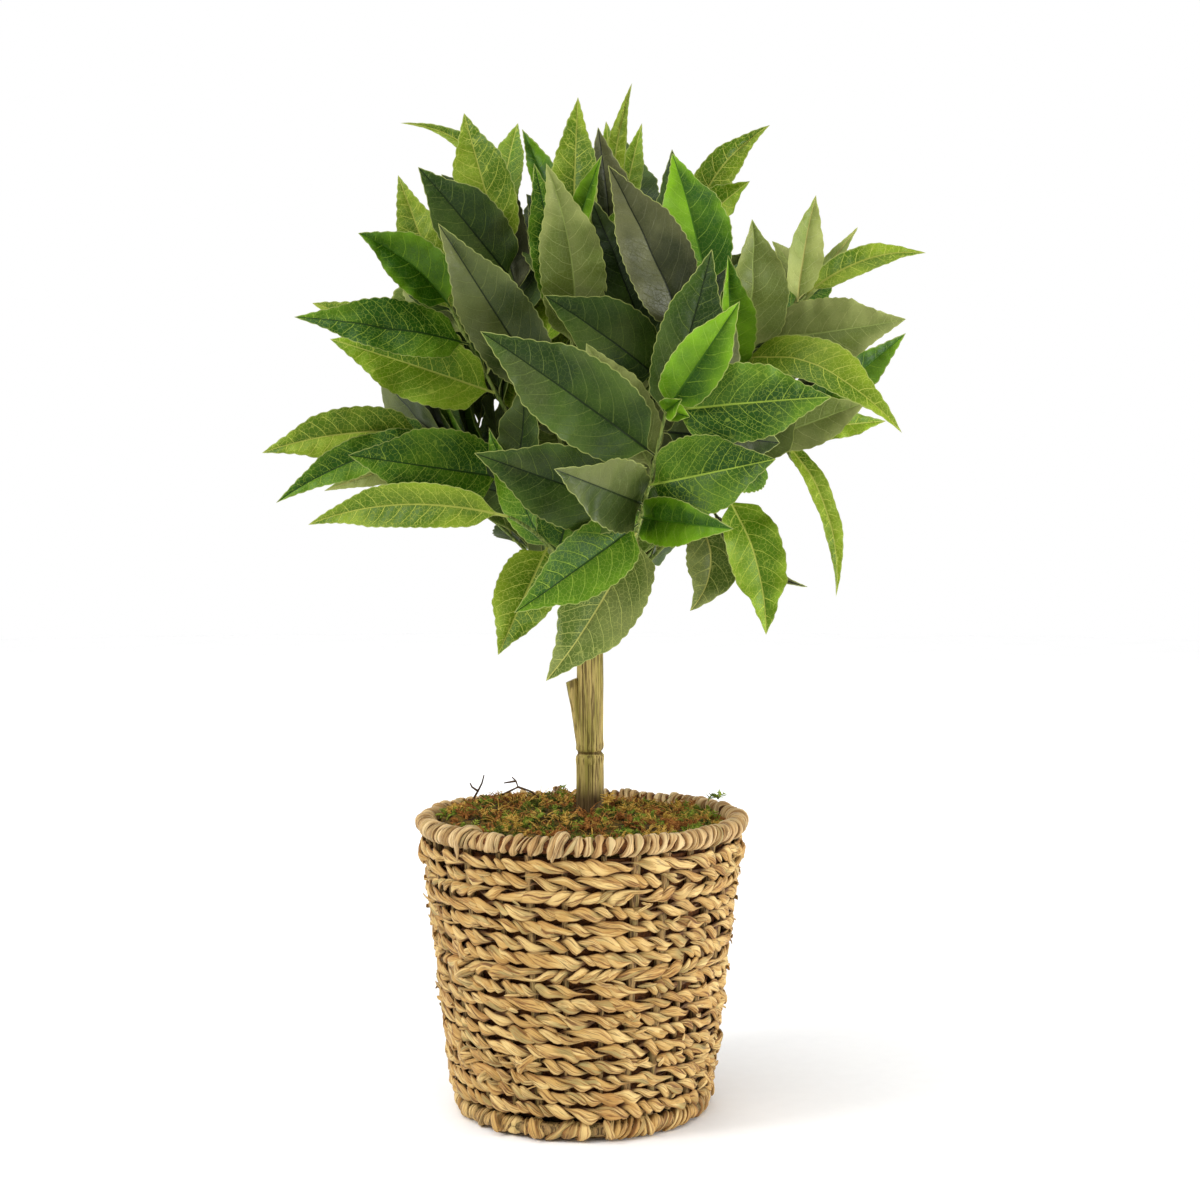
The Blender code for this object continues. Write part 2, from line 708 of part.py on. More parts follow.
class Crown:
    """Grows every spray's leaves so that none touches a limb or another leaf."""

    def __init__(self, limbs):
        self.limbs = limbs
        self.blades = {spray.name: [] for spray in SPRAYS}
        self.whole = []
        self.screen = None
        self.skipped = []

    def clear(self, owner, blade):
        """Whether a blade touches no limb and no blade that is there."""
        near = blade_tree(blade, TEST_START)
        full = blade_tree(blade)
        for name, tree in self.limbs:
            test = near if name == owner else full
            if test.overlap(tree):
                return False
        for name, tree, trimmed in self.whole:
            if name == owner:
                if near.overlap(trimmed):
                    return False
            elif full.overlap(tree):
                return False
        return True

    def keep(self, owner, blade):
        """Add a blade to its spray."""
        self.blades[owner].append(blade)
        self.whole.append((owner, blade_tree(blade), blade_tree(blade, TEST_START)))

    def grow_named(self, spray):
        """Set the leaves that show, each turned or moved a little until it is clear."""
        line = spray_line(spray)
        for leaf in spray.leaves:
            root = stem_point(line, leaf.share)
            tries = sorted(((shift, turn) for shift in SHIFTS_TO_TRY for turn in TURNS_TO_TRY),
                           key=lambda pair: abs(pair[0]) + abs(pair[1]) * TURN_COST)
            for shift, turn in tries:
                tip = seen(leaf.across, leaf.up, leaf.out + shift)
                normal = blade_normal(root, tip, leaf.face, turn)
                blade = Blade(root, tip, normal, leaf.width * MM, leaf.bow, leaf.sway, NAMED_FOLD)
                if self.clear(spray.name, blade):
                    self.keep(spray.name, blade)
                    break
            else:
                self.skipped.append((spray.name, leaf))

    def raise_screen(self):
        """Note the leaves that show, which everything set before OPEN_FRONT hides behind."""
        points = []
        faces = []
        for blades in self.blades.values():
            for blade in blades:
                some, sides = skin(blade_rings(blade, BLADE_THICKNESS))
                faces.extend(tuple(k + len(points) for k in side) for side in sides)
                points.extend(some)
        self.screen = BVHTree.FromPolygons(points, faces)

    def stays_behind(self, blade):
        """Whether a blade is hidden by the leaves that show, or shows only in the crown's heart."""
        eye = Vector((EYE_ACROSS, -EYE_DISTANCE, EYE_HEIGHT))
        for place in blade_samples(blade):
            ahead = eye - place
            if self.screen.ray_cast(place, ahead, ahead.length)[0] is not None:
                continue
            if blade.tip.y < OPEN_FRONT or not in_heart(place):
                return False
        return True

    def has_room(self, owner, blade):
        """Whether a filling leaf keeps to the crown, stays behind, and is clear."""
        if not all(in_crown(place) for place in blade_samples(blade)):
            return False
        return self.stays_behind(blade) and self.clear(owner, blade)

    def grow_fillers(self, spray, seed):
        """Set leaves round the stem by the golden angle, and skip those with no room."""
        draw = random.Random(seed)
        start, bend, end = spray_line(spray)
        for k in range(spray.fillers):
            share = mix(FILL_START, 1.0, (k + 0.5) / spray.fillers)
            root = stem_point((start, bend, end), share)
            ahead = (bend.lerp(end, share) - start.lerp(bend, share)).normalized()
            for attempt in range(FILL_TRIES):
                turn = GOLDEN_ANGLE * (k + attempt * NEXT_TRY)
                turn += draw.uniform(-TURN_SPREAD, TURN_SPREAD)
                lean = mix(*FILL_LEAN, share) + draw.uniform(-FILL_LEAN_SPREAD, FILL_LEAN_SPREAD)
                length = draw.uniform(*FILL_LENGTH)
                width = length * draw.uniform(*FILL_WIDTH)
                roll = draw.uniform(-FILL_ROLL, FILL_ROLL)
                bow = draw.uniform(*FILL_BOW)
                sway = draw.uniform(-FILL_SWAY, FILL_SWAY)
                fold = draw.uniform(*FILL_FOLD)
                away = Matrix.Rotation(turn, 3, ahead) @ ahead.orthogonal().normalized()
                lean = math.radians(lean)
                tip = root + (ahead * math.cos(lean) + away * math.sin(lean)) * length
                blade = Blade(root, tip, blade_normal(root, tip, 0.0, roll), width, bow, sway, fold)
                if self.has_room(spray.name, blade):
                    self.keep(spray.name, blade)
                    break


def in_crown(place):
    """Whether a place lies in the space that the filling leaves keep to."""
    beside = abs(place.x - TRUNK_ACROSS)
    if place.z < (CROWN_FLOOR if beside < HANGING_REACH else CROWN_SKIRT):
        return False
    offset = place - CROWN_MIDDLE
    share = Vector((offset.x / CROWN_REACH.x, offset.y / CROWN_REACH.y, offset.z / CROWN_REACH.z))
    return share.length < 1.0


def in_heart(place):
    """Whether a place is seen in the middle of the crown, away from its edge."""
    nearer = (EYE_DISTANCE + place.y) / EYE_DISTANCE
    across = EYE_ACROSS + (place.x - EYE_ACROSS) / nearer - HEART_MIDDLE[0]
    up = EYE_HEIGHT + (place.z - EYE_HEIGHT) / nearer - HEART_MIDDLE[1]
    return math.hypot(across / HEART_REACH[0], up / HEART_REACH[1]) < 1.0


def foliage(spray, blades, material):
    """One mass of foliage: its stem with every blade sunk into it and fused."""
    rings = stem_rings(spray, (STEM_RADIUS, STEM_TIP_RADIUS))
    main = mesh_object(spray.name, *skin(rings), material)
    others = [mesh_object("blade", *skin(blade_rings(blade, BLADE_THICKNESS)), material)
              for blade in blades]
    return fuse(main, others)


def limb_trees(lines):
    """The trunk, boughs and stems as shapes that leaves must not touch."""
    trees = [("trunk", BVHTree.FromPolygons(*skin(trunk_rings())))]
    for name, line in lines.items():
        radii = (BOUGH_RADIUS + LIMB_MARGIN,) * 2
        rings = tapered(*line, radii, BOUGH_SIDES, BOUGH_STATIONS)
        trees.append((name + "_bough", BVHTree.FromPolygons(*skin(rings))))
    for spray in SPRAYS:
        rings = stem_rings(spray, (STEM_RADIUS + LIMB_MARGIN,) * 2)
        trees.append((spray.name, BVHTree.FromPolygons(*skin(rings))))
    return trees


def main():
    """Build the basket, the moss, the trunk, the boughs and the foliage."""
    clear_scene()
    grass = finish_material("seagrass", SEAGRASS, 0.75)
    rim_grass = finish_material("rim_seagrass", RIM_SEAGRASS, 0.75)
    fill = finish_material("fill", FILL_BROWN, 0.95)
    moss = finish_material("moss", MOSS_GREEN, 0.95)
    bark = finish_material("bark", BARK_BROWN, 0.7)
    shoot = finish_material("shoot", SHOOT_GREEN, 0.55)
    leaf_green = finish_material("leaf", LEAF_GREEN, 0.5)
    basket_floor(grass)
    basket_foot(rim_grass)
    basket_wall(grass)
    basket_rim(rim_grass)
    potting_fill(fill)
    moss_bed(moss)
    trunk(bark)
    lines = bough_lines()
    for name, line in lines.items():
        bough(name.replace("foliage", "bough"), line, shoot)
    crown = Crown(limb_trees(lines))
    for spray in SPRAYS:
        crown.grow_named(spray)
    crown.raise_screen()
    for number, spray in enumerate(SPRAYS):
        crown.grow_fillers(spray, number)
    for spray in SPRAYS:
        foliage(spray, crown.blades[spray.name], leaf_green)
    return crown


if __name__ == "__main__":
    main()
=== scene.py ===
"""Looks of the potted bay tree: an artificial clipped bay in a woven seagrass basket.

Metres, +Z up, the front of the tree faces -Y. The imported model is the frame. The
crown grows by the part's own rule, so every fine leaf lies where its solid is.
"""

import logging
import math
from collections.abc import Callable
from dataclasses import dataclass
from enum import Enum
from math import cos, exp, hypot, pi, radians, sin, tau
from random import Random

import bmesh
import bpy
from mathutils import Matrix, Vector, noise
from mathutils.bvhtree import BVHTree


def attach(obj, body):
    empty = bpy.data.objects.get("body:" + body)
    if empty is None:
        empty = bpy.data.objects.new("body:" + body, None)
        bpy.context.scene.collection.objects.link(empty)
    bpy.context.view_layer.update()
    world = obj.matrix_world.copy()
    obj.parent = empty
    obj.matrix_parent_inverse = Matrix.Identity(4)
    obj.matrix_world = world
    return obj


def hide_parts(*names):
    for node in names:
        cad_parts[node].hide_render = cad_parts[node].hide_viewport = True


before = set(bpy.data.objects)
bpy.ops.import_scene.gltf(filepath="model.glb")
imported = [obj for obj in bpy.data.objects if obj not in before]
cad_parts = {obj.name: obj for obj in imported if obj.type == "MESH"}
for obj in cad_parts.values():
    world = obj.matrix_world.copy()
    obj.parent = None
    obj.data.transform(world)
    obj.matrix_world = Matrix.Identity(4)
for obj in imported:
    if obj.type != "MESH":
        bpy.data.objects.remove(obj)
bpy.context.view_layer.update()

BODY = "root"

MM = 0.001
CM = 0.01
GAP = 0.0003
MERGE = 1e-6
UP = Vector((0.0, 0.0, 1.0))
FRONT = Vector((0.0, -1.0, 0.0))
Pair = tuple[float, float]
Triple = tuple[float, float, float]
Colour = Triple
Line = tuple[Vector, Vector, Vector]
Place = Callable[[float, float], Vector]
Pattern = Callable[[float, float], Pair]
Material = bpy.types.Material
Thing = bpy.types.Object
Socket = bpy.types.NodeSocket
Input = Socket | float
Shade = Socket | Colour
log = logging.getLogger("bay tree")


class Spring(Enum):
    """Where a spray's limb springs from."""
    SIDE = "side of the trunk's top"
    OUTER = "outer ring on the trunk's top"
    INNER = "inner ring on the trunk's top"
    TRUNK = "flank of the trunk"


class Tone(Enum):
    """The tones that the leaves are printed in."""
    DEEP = "deep"
    DARK = "dark"
    BROWN = "brown"
    HAZE = "haze"
    GREY = "grey"
    GREEN = "green"
    FRESH = "fresh"
    BRIGHT = "bright"
    OLIVE = "olive"
    YELLOW = "yellow"
    PALE = "pale"
    UNDER = "under"


# The crown's rule, as in the part's source

@dataclass(frozen=True)
class Eye:
    """The viewer that the places in the crown are told for."""
    distance: float = 0.960
    across: float = 0.009
    height: float = 0.2915

    def place(self) -> Vector:
        """Where the viewer's eye is."""
        return Vector((self.across, -self.distance, self.height))

    def seen(self, across: float, up: float, out: float) -> Vector:
        """Turn a place seen from the front into a place in space.

        Args:
            across: Millimetres to the right on the upright plane through the trunk.
            up: Millimetres up on that plane.
            out: Millimetres before that plane.

        Returns:
            The place in metres.
        """
        nearer = (self.distance - out * MM) / self.distance
        x = self.across + (across * MM - self.across) * nearer
        z = self.height + (up * MM - self.height) * nearer
        return Vector((x, -out * MM, z))


@dataclass(frozen=True)
class Leaf:
    """A leaf that shows from the front: its place on the stem, its tip, its shape and tone."""
    tone: Tone
    share: float
    across: float
    up: float
    out: float
    width: float
    face: float = 0.6
    sway: float = 0.0
    bow: float = 0.06


@dataclass(frozen=True)
class Spray:
    """A spray of leaves: three places along its stem, leaves to fill it, leaves that show."""
    name: str
    spring: Spring
    root: Triple
    bend: Triple
    tip: Triple
    fillers: int
    leaves: tuple[Leaf, ...] = ()


@dataclass(frozen=True)
class Blade:
    """A leaf's place and shape in space."""
    root: Vector
    tip: Vector
    normal: Vector
    width: float
    bow: float
    sway: float
    fold: float
    tone: Tone

    def frame(self, share: float) -> Line:
        """Where the blade's middle is, some way along it, and how it lies there.

        Args:
            share: Share of the way to the tip.

        Returns:
            The middle, the way that the upper side faces, and the way across.
        """
        chord = self.tip - self.root
        side = chord.cross(self.normal).normalized()
        arch = (self.normal * self.bow + side * self.sway) * chord.length
        centre = self.root + chord * share + arch * (4.0 * share * (1.0 - share))
        slope = chord + arch * (4.0 * (1.0 - 2.0 * share))
        face = side.cross(slope).normalized()
        return centre, face, slope.cross(face).normalized()


SPRAYS = (
    Spray("front", Spring.SIDE, (22, 268, 52), (30, 292, 104), (42, 346, 112), 6, (
        Leaf(Tone.DEEP, 0.78, -51, 386, 122, 38),
        Leaf(Tone.DEEP, 0.46, -54, 325, 122, 37),
        Leaf(Tone.HAZE, 0.50, -14, 317, 156, 32),
        Leaf(Tone.FRESH, 0.62, 97, 322, 126, 36),
        Leaf(Tone.BRIGHT, 0.42, 76, 287, 142, 22),
        Leaf(Tone.GREEN, 0.38, -34, 245, 128, 30),
        Leaf(Tone.UNDER, 0.32, -18, 211, 100, 35, 0.6, -0.03),
        Leaf(Tone.DARK, 0.90, 99, 330, 88, 34),
        Leaf(Tone.FRESH, 1.00, 125, 353, 110, 35),
        Leaf(Tone.BRIGHT, 1.00, 79, 401, 130, 24),
        Leaf(Tone.DEEP, 0.93, 65, 427, 104, 28),
        Leaf(Tone.GREY, 0.70, 2, 380, 104, 28),
        Leaf(Tone.BRIGHT, 1.00, 50, 352, 128, 10),
        Leaf(Tone.BRIGHT, 1.00, 54, 343, 122, 9),
    )),
    Spray("low_left", Spring.TRUNK, (-2, 266, 46), (-6, 288, 80), (-36, 293, 80), 4, (
        Leaf(Tone.OLIVE, 0.66, -42, 224, 96, 29),
        Leaf(Tone.OLIVE, 1.00, -137, 289, 50, 21, 0.6, 0.08),
    )),
    Spray("left", Spring.SIDE, (-18, 290, 26), (-36, 318, 44), (-78, 335, 30), 6, (
        Leaf(Tone.GREEN, 0.45, -117, 324, 86, 38, 0.9),
        Leaf(Tone.DEEP, 0.25, -81, 316, 32, 26),
        Leaf(Tone.OLIVE, 1.00, -160, 325, 34, 25, 0.8, 0.05),
        Leaf(Tone.GREEN, 0.92, -153, 300, 48, 19, 0.6, 0.05),
        Leaf(Tone.PALE, 0.80, -129, 306, 26, 14),
    )),
    Spray("upper_left", Spring.OUTER, (-18, 310, 18), (-44, 356, 36), (-66, 398, 40), 6, (
        Leaf(Tone.YELLOW, 0.50, -126, 382, 44, 34),
        Leaf(Tone.GREEN, 0.78, -144, 393, 58, 28),
        Leaf(Tone.OLIVE, 0.66, -135, 400, 12, 24),
        Leaf(Tone.BRIGHT, 1.00, -112, 435, 56, 26, 0.6, 0.07),
        Leaf(Tone.OLIVE, 0.94, -92, 464, 38, 22),
    )),
    Spray("top_left", Spring.OUTER, (-8, 322, 32), (-24, 376, 62), (-42, 434, 48), 6, (
        Leaf(Tone.HAZE, 0.32, -72, 440, 92, 33),
        Leaf(Tone.DEEP, 0.80, -82, 468, 70, 32),
        Leaf(Tone.OLIVE, 0.90, -59, 495, 46, 28),
        Leaf(Tone.OLIVE, 1.00, -91, 490, 22, 9, 0.6, 0.20),
        Leaf(Tone.BROWN, 0.70, -48, 478, 26, 24),
        Leaf(Tone.YELLOW, 1.00, -32, 490, 20, 18),
    )),
    Spray("top_front", Spring.OUTER, (0, 322, 40), (-8, 376, 72), (-4, 430, 60), 5, (
        Leaf(Tone.GREY, 0.50, -18, 470, 98, 30, 0.8, 0.06),
        Leaf(Tone.GREEN, 0.58, -24, 470, 80, 22),
        Leaf(Tone.OLIVE, 0.85, -2, 503, 50, 22),
        Leaf(Tone.BRIGHT, 1.00, 10, 474, 68, 12),
        Leaf(Tone.BRIGHT, 0.95, -30, 487, 36, 14),
    )),
    Spray("top", Spring.INNER, (8, 330, 10), (12, 380, 14), (16, 434, 12), 6, (
        Leaf(Tone.BROWN, 0.85, 8, 488, 42, 26),
        Leaf(Tone.OLIVE, 1.00, 25, 510, 24, 10, 0.6, -0.05),
        Leaf(Tone.YELLOW, 1.00, 12, 491, 4, 14),
        Leaf(Tone.YELLOW, 0.90, 30, 490, -10, 14),
    )),
    Spray("crest", Spring.INNER, (14, 330, -4), (36, 392, 2), (56, 440, 8), 5, (
        Leaf(Tone.OLIVE, 0.90, 94, 489, 14, 18, 0.9, -0.10),
        Leaf(Tone.YELLOW, 0.95, 84, 461, 36, 20),
        Leaf(Tone.DEEP, 0.70, 45, 477, 26, 26),
    )),
    Spray("top_right", Spring.OUTER, (14, 318, 44), (36, 362, 78), (66, 410, 74), 5, (
        Leaf(Tone.DEEP, 0.50, -19, 404, 96, 35),
        Leaf(Tone.BROWN, 0.74, 13, 469, 92, 34),
        Leaf(Tone.DARK, 0.50, 3, 455, 74, 24),
        Leaf(Tone.BRIGHT, 0.95, 45, 475, 74, 31),
    )),
    Spray("upper_right", Spring.OUTER, (26, 316, 18), (66, 360, 36), (112, 404, 34), 6, (
        Leaf(Tone.BRIGHT, 0.50, 73, 424, 90, 22),
        Leaf(Tone.GREY, 0.66, 85, 442, 60, 34),
        Leaf(Tone.PALE, 0.95, 117, 454, 44, 18, 0.6, -0.05),
        Leaf(Tone.GREY, 1.00, 95, 431, 46, 18),
        Leaf(Tone.PALE, 0.90, 138, 438, 12, 8),
        Leaf(Tone.OLIVE, 1.00, 172, 425, 20, 14, 0.6, -0.09),
        Leaf(Tone.GREY, 0.76, 162, 392, 50, 32, 0.8, 0.03),
        Leaf(Tone.OLIVE, 0.62, 160, 335, 68, 26, 0.5, 0.0, 0.24),
    )),
    Spray("right", Spring.SIDE, (28, 292, 26), (62, 322, 48), (102, 336, 46), 6, (
        Leaf(Tone.YELLOW, 1.00, 152, 341, 28, 13),
        Leaf(Tone.GREY, 0.85, 143, 351, 38, 22),
        Leaf(Tone.OLIVE, 0.95, 127, 253, 56, 12, 0.5, -0.10),
        Leaf(Tone.BRIGHT, 0.95, 162, 385, 20, 20),
        Leaf(Tone.GREY, 1.00, 107, 318, 54, 8),
    )),
    Spray("low_right", Spring.TRUNK, (22, 268, 30), (46, 290, 56), (72, 304, 60), 4, (
        Leaf(Tone.YELLOW, 1.00, 92, 234, 64, 27, 0.6, -0.06),
        Leaf(Tone.BROWN, 0.90, 113, 258, 44, 8, 0.6, 0.12),
        Leaf(Tone.UNDER, 0.80, 54, 246, 66, 26, 0.6, -0.18),
    )),
    Spray("side_left", Spring.SIDE, (-20, 290, -8), (-52, 330, -20), (-70, 372, -26), 14),
    Spray("side_right", Spring.SIDE, (26, 290, -6), (58, 324, -18), (84, 352, -26), 15),
    Spray("back_left", Spring.OUTER, (-12, 312, -26), (-40, 362, -50), (-58, 396, -66), 14),
    Spray("back_right", Spring.OUTER, (20, 312, -26), (50, 362, -50), (64, 396, -66), 16),
    Spray("back", Spring.SIDE, (4, 290, -34), (2, 322, -68), (6, 350, -90), 14),
    Spray("back_top", Spring.INNER, (4, 334, -16), (2, 390, -30), (0, 412, -44), 16),
    Spray("low_back_left", Spring.TRUNK, (-12, 268, -26), (-34, 288, -50), (-54, 298, -68), 12),
    Spray("low_back_right", Spring.TRUNK, (20, 268, -26), (42, 288, -50), (58, 298, -68), 14),
)


def mix(low: float, high: float, share: float) -> float:
    """The value that lies a share of the way from low to high."""
    return low + (high - low) * share


def clamp(value: float) -> float:
    """The value, kept between 0 and 1."""
    return min(1.0, max(0.0, value))


def ends(share: float, start: float, end: float) -> float:
    """1 along most of a length, and less near its two ends by the given slopes."""
    return min(1.0, share * start, (1.0 - share) * end)


def polar(angle: float, reach: float = 1.0, height: float = 0.0) -> Vector:
    """The place at an angle round the upright axis, some way out and up."""
    return Vector((reach * cos(angle), reach * sin(angle), height))


def waver(*place: float) -> float:
    """Smooth noise about nought at a place."""
    return noise.noise(Vector(place))


def skin(rings: list[tuple[Vector, ...]]) -> tuple[list[Vector], list[tuple[int, ...]]]:
    """Close a test shape over rings of points.

    Args:
        rings: Rings of points; one of a single point is a sharp end.

    Returns:
        The points and the faces, as corner numbers.
    """
    points = [point for ring in rings for point in ring]
    faces = []
    start = 0
    for ring, following in zip(rings, rings[1:]):
        after = start + len(ring)
        for k in range(len(ring)):
            n = (k + 1) % len(ring)
            if len(following) == 1:
                faces.append((start + k, start + n, after))
            else:
                faces.append((start + k, start + n, after + n, after + k))
        start = after
    faces.append(tuple(reversed(range(len(rings[0])))))
    if len(rings[-1]) > 1:
        faces.append(tuple(range(start, start + len(rings[-1]))))
    return points, faces


def round_ring(centre: Vector, ahead: Vector, across: Vector, radius: float,
               sides: int) -> list[Vector]:
    """Points of a ring round a centre, square to the way ahead, the first one across."""
    turns = [Matrix.Rotation(tau * k / sides, 3, ahead) for k in range(sides)]
    return [centre + (turn @ across) * radius for turn in turns]


def curve_point(start: Vector, bend: Vector, end: Vector, share: float) -> Vector:
    """A point on the smooth curve from start to end, drawn towards bend."""
    return start.lerp(bend, share).lerp(bend.lerp(end, share), share)


def through(places: list[Vector], share: float) -> Vector:
    """A point on the smooth line that goes through every place.

    Args:
        places: Two places or more.
        share: The share of the way along, 0 to 1.

    Returns:
        The point.
    """
    span = clamp(share) * (len(places) - 1)
    step = min(int(span), len(places) - 2)
    t = span - step
    before, low = places[max(step - 1, 0)], places[step]
    high, after = places[step + 1], places[min(step + 2, len(places) - 1)]
    return (low * 2.0 + (high - before) * t
            + (before * 2.0 - low * 5.0 + high * 4.0 - after) * (t * t)
            + (low * 3.0 - before - high * 3.0 + after) * (t * t * t)) * 0.5


def tapered(start: Vector, bend: Vector, end: Vector, heading: Vector,
            radii: Pair, sides: int, stations: int) -> list[list[Vector]]:
    """Rings of one tapering limb along a smooth curve, its end square to the heading.

    Args:
        start: Where the limb starts.
        bend: The place its curve is drawn to.
        end: Where it ends.
        heading: The way its end faces.
        radii: Its radius at the start and at the end.
        sides: Faces round it.
        stations: The number of rings.

    Returns:
        The rings, each a list of points.
    """
    rings = []
    across = (bend - start).orthogonal().normalized()
    for k in range(stations):
        share = k / (stations - 1)
        ahead = (bend.lerp(end, share) - start.lerp(bend, share)).normalized()
        if k == stations - 1:
            ahead = heading
        across = (across - ahead * across.dot(ahead)).normalized()
        centre = curve_point(start, bend, end, share)
        rings.append(round_ring(centre, ahead, across, mix(*radii, share), sides))
    return rings


@dataclass(frozen=True)
class TrunkShape:
    """The trunk's sizes: pairs of height and radius, from its foot to its top."""
    across: float = 0.0040
    foot: Pair = (0.1283, 0.0076)
    flare: Pair = (0.1510, 0.0071)
    below_node: Pair = (0.1705, 0.0070)
    node_edge: Pair = (0.1742, 0.0068)
    node_pinch: Pair = (0.1755, 0.0060)
    above_node: Pair = (0.1768, 0.0067)
    middle: Pair = (0.2112, 0.0066)
    top: Pair = (0.2470, 0.0062)
    test_sides: int = 12

    def stations(self) -> tuple[Pair, ...]:
        """All the pairs of height and radius, from the foot up."""
        return (self.foot, self.flare, self.below_node, self.node_edge, self.node_pinch,
                self.above_node, self.middle, self.top)

    def radius(self, height: float) -> float:
        """The radius at a height, straight from station to station.

        Args:
            height: Height above the ground, in metres.

        Returns:
            The radius in metres.
        """
        stations = self.stations()
        for low, high in zip(stations, stations[1:]):
            if height <= high[0]:
                return mix(low[1], high[1], max(0.0, (height - low[0]) / (high[0] - low[0])))
        return self.top[1]

    def rings(self) -> list[list[Vector]]:
        """Rings of the trunk as it is built in the part."""
        return [round_ring(Vector((self.across, 0.0, height)), UP, FRONT, radius, self.test_sides)
                for height, radius in self.stations()]

    def beside(self, outward: Vector, height: float, ahead: Vector, radius: float) -> Vector:
        """Where a limb that springs from the trunk's flank starts, clear of the bark.

        Args:
            outward: The way out from the trunk's axis.
            height: The limb's height.
            ahead: The way the limb sets out.
            radius: The limb's radius.

        Returns:
            The middle of the limb's foot.
        """
        share = (height - self.middle[0]) / (self.top[0] - self.middle[0])
        bark = mix(self.middle[1], self.top[1], share)
        reach = bark + GAP + radius * abs(ahead.z)
        return Vector((self.across, 0.0, height)) + outward * reach


@dataclass(frozen=True)
class LimbRule:
    """Sizes of the boughs and of the sprays' stems."""
    bough_sides: int = 6
    bough_radius: float = 0.00120
    bough_tip_radius: float = 0.00110
    bough_stations: int = 6
    bough_rise: float = 0.026
    bough_lean: float = 0.004
    side_reach: float = 0.012
    side_rise: float = 0.006
    margin: float = 0.0001
    outer_ring: float = 0.0044
    inner_ring: float = 0.0019
    shoot_drop: float = 0.0045
    low_shoot_drop: float = 0.0105
    stem_sides: int = 5
    stem_radius: float = 0.00115
    stem_tip_radius: float = 0.00075
    stem_stations: int = 6


@dataclass(frozen=True)
class BladeRule:
    """How a leaf's outline and its rough test shape are made, and how a leaf is nudged clear."""
    thickness: float = 0.00105
    stations: tuple[float, ...] = (0.0, 0.18, 0.42, 0.74)
    rise: float = 0.62
    fall: float = 0.85
    stalk_half_width: float = 0.0009
    test_thickness: float = 0.0022
    test_start: float = 0.16
    turns: tuple[int, ...] = (0, 10, -10, 20, -20, 32, -32, 45, -45)
    shifts: tuple[int, ...] = (0, 6, -6, 12, -12, 18, -18, 24, -24)
    turn_cost: float = 1.5
    face_rise: float = 0.35
    named_fold: float = 0.22

    def outline(self, share: float) -> float:
        """Half width of a blade, as a share of its widest, along its length.

        Args:
            share: Share of the way to the tip.

        Returns:
            The share of the widest half width.
        """
        widest = self.rise / (self.rise + self.fall)
        peak = widest ** self.rise * (1.0 - widest) ** self.fall
        return share ** self.rise * (1.0 - share) ** self.fall / peak


@dataclass(frozen=True)
class FillRule:
    """The seeded rule that sets the filling leaves, and the space that they keep to."""
    count: int = 0
    tries: int = 18
    start: float = 0.3
    length: Pair = (0.076, 0.098)
    width: Pair = (0.36, 0.42)
    lean: Pair = (78.0, 26.0)
    lean_spread: float = 10.0
    roll: float = 18.0
    bow: Pair = (0.02, 0.11)
    sway: float = 0.07
    fold: Pair = (0.12, 0.34)
    golden: float = radians(137.5)
    next_try: float = 0.37
    turn_spread: float = 0.3
    middle: Vector = Vector((0.006, 0.0, 0.360))
    reach: Vector = Vector((0.135, 0.165, 0.135))
    floor: float = 0.240
    skirt: float = 0.298
    hanging_reach: float = 0.040
    open_front: float = -0.035
    heart_middle: Pair = (0.002, 0.365)
    heart_reach: Pair = (0.100, 0.095)
    samples: tuple[float, ...] = (0.4, 0.6, 0.8, 1.0)
    tones: tuple[Tone, ...] = (Tone.GREEN, Tone.DEEP, Tone.OLIVE, Tone.GREEN, Tone.GREY,
                               Tone.BRIGHT, Tone.YELLOW, Tone.DEEP, Tone.HAZE)
    tone_steps: tuple[int, int] = (5, 4)


@dataclass(frozen=True)
class StripRule:
    """How the ends and the pattern of a flat strand are made."""
    sides: int = 6
    look: float = 0.02
    point: float = 4.0
    bluntness: float = 0.6
    girth: float = 0.9
    # Painted shade given to a flat strand as the second part of its edge pattern; at this value the
    # grass paints none.
    crevice_shade: float = 0.1
    offset: Pair = (0.0, 50.0)


EYE = Eye()
TRUNK = TrunkShape()
LIMB = LimbRule()
BLADE = BladeRule()
FILL = FillRule()
SMALL = FillRule(count=9, tries=12, start=0.2, length=(0.044, 0.068), width=(0.34, 0.42),
                 open_front=-0.058,
                 tones=(Tone.DEEP, Tone.GREEN, Tone.DARK, Tone.DEEP, Tone.GREEN, Tone.GREY))
STRIP = StripRule()


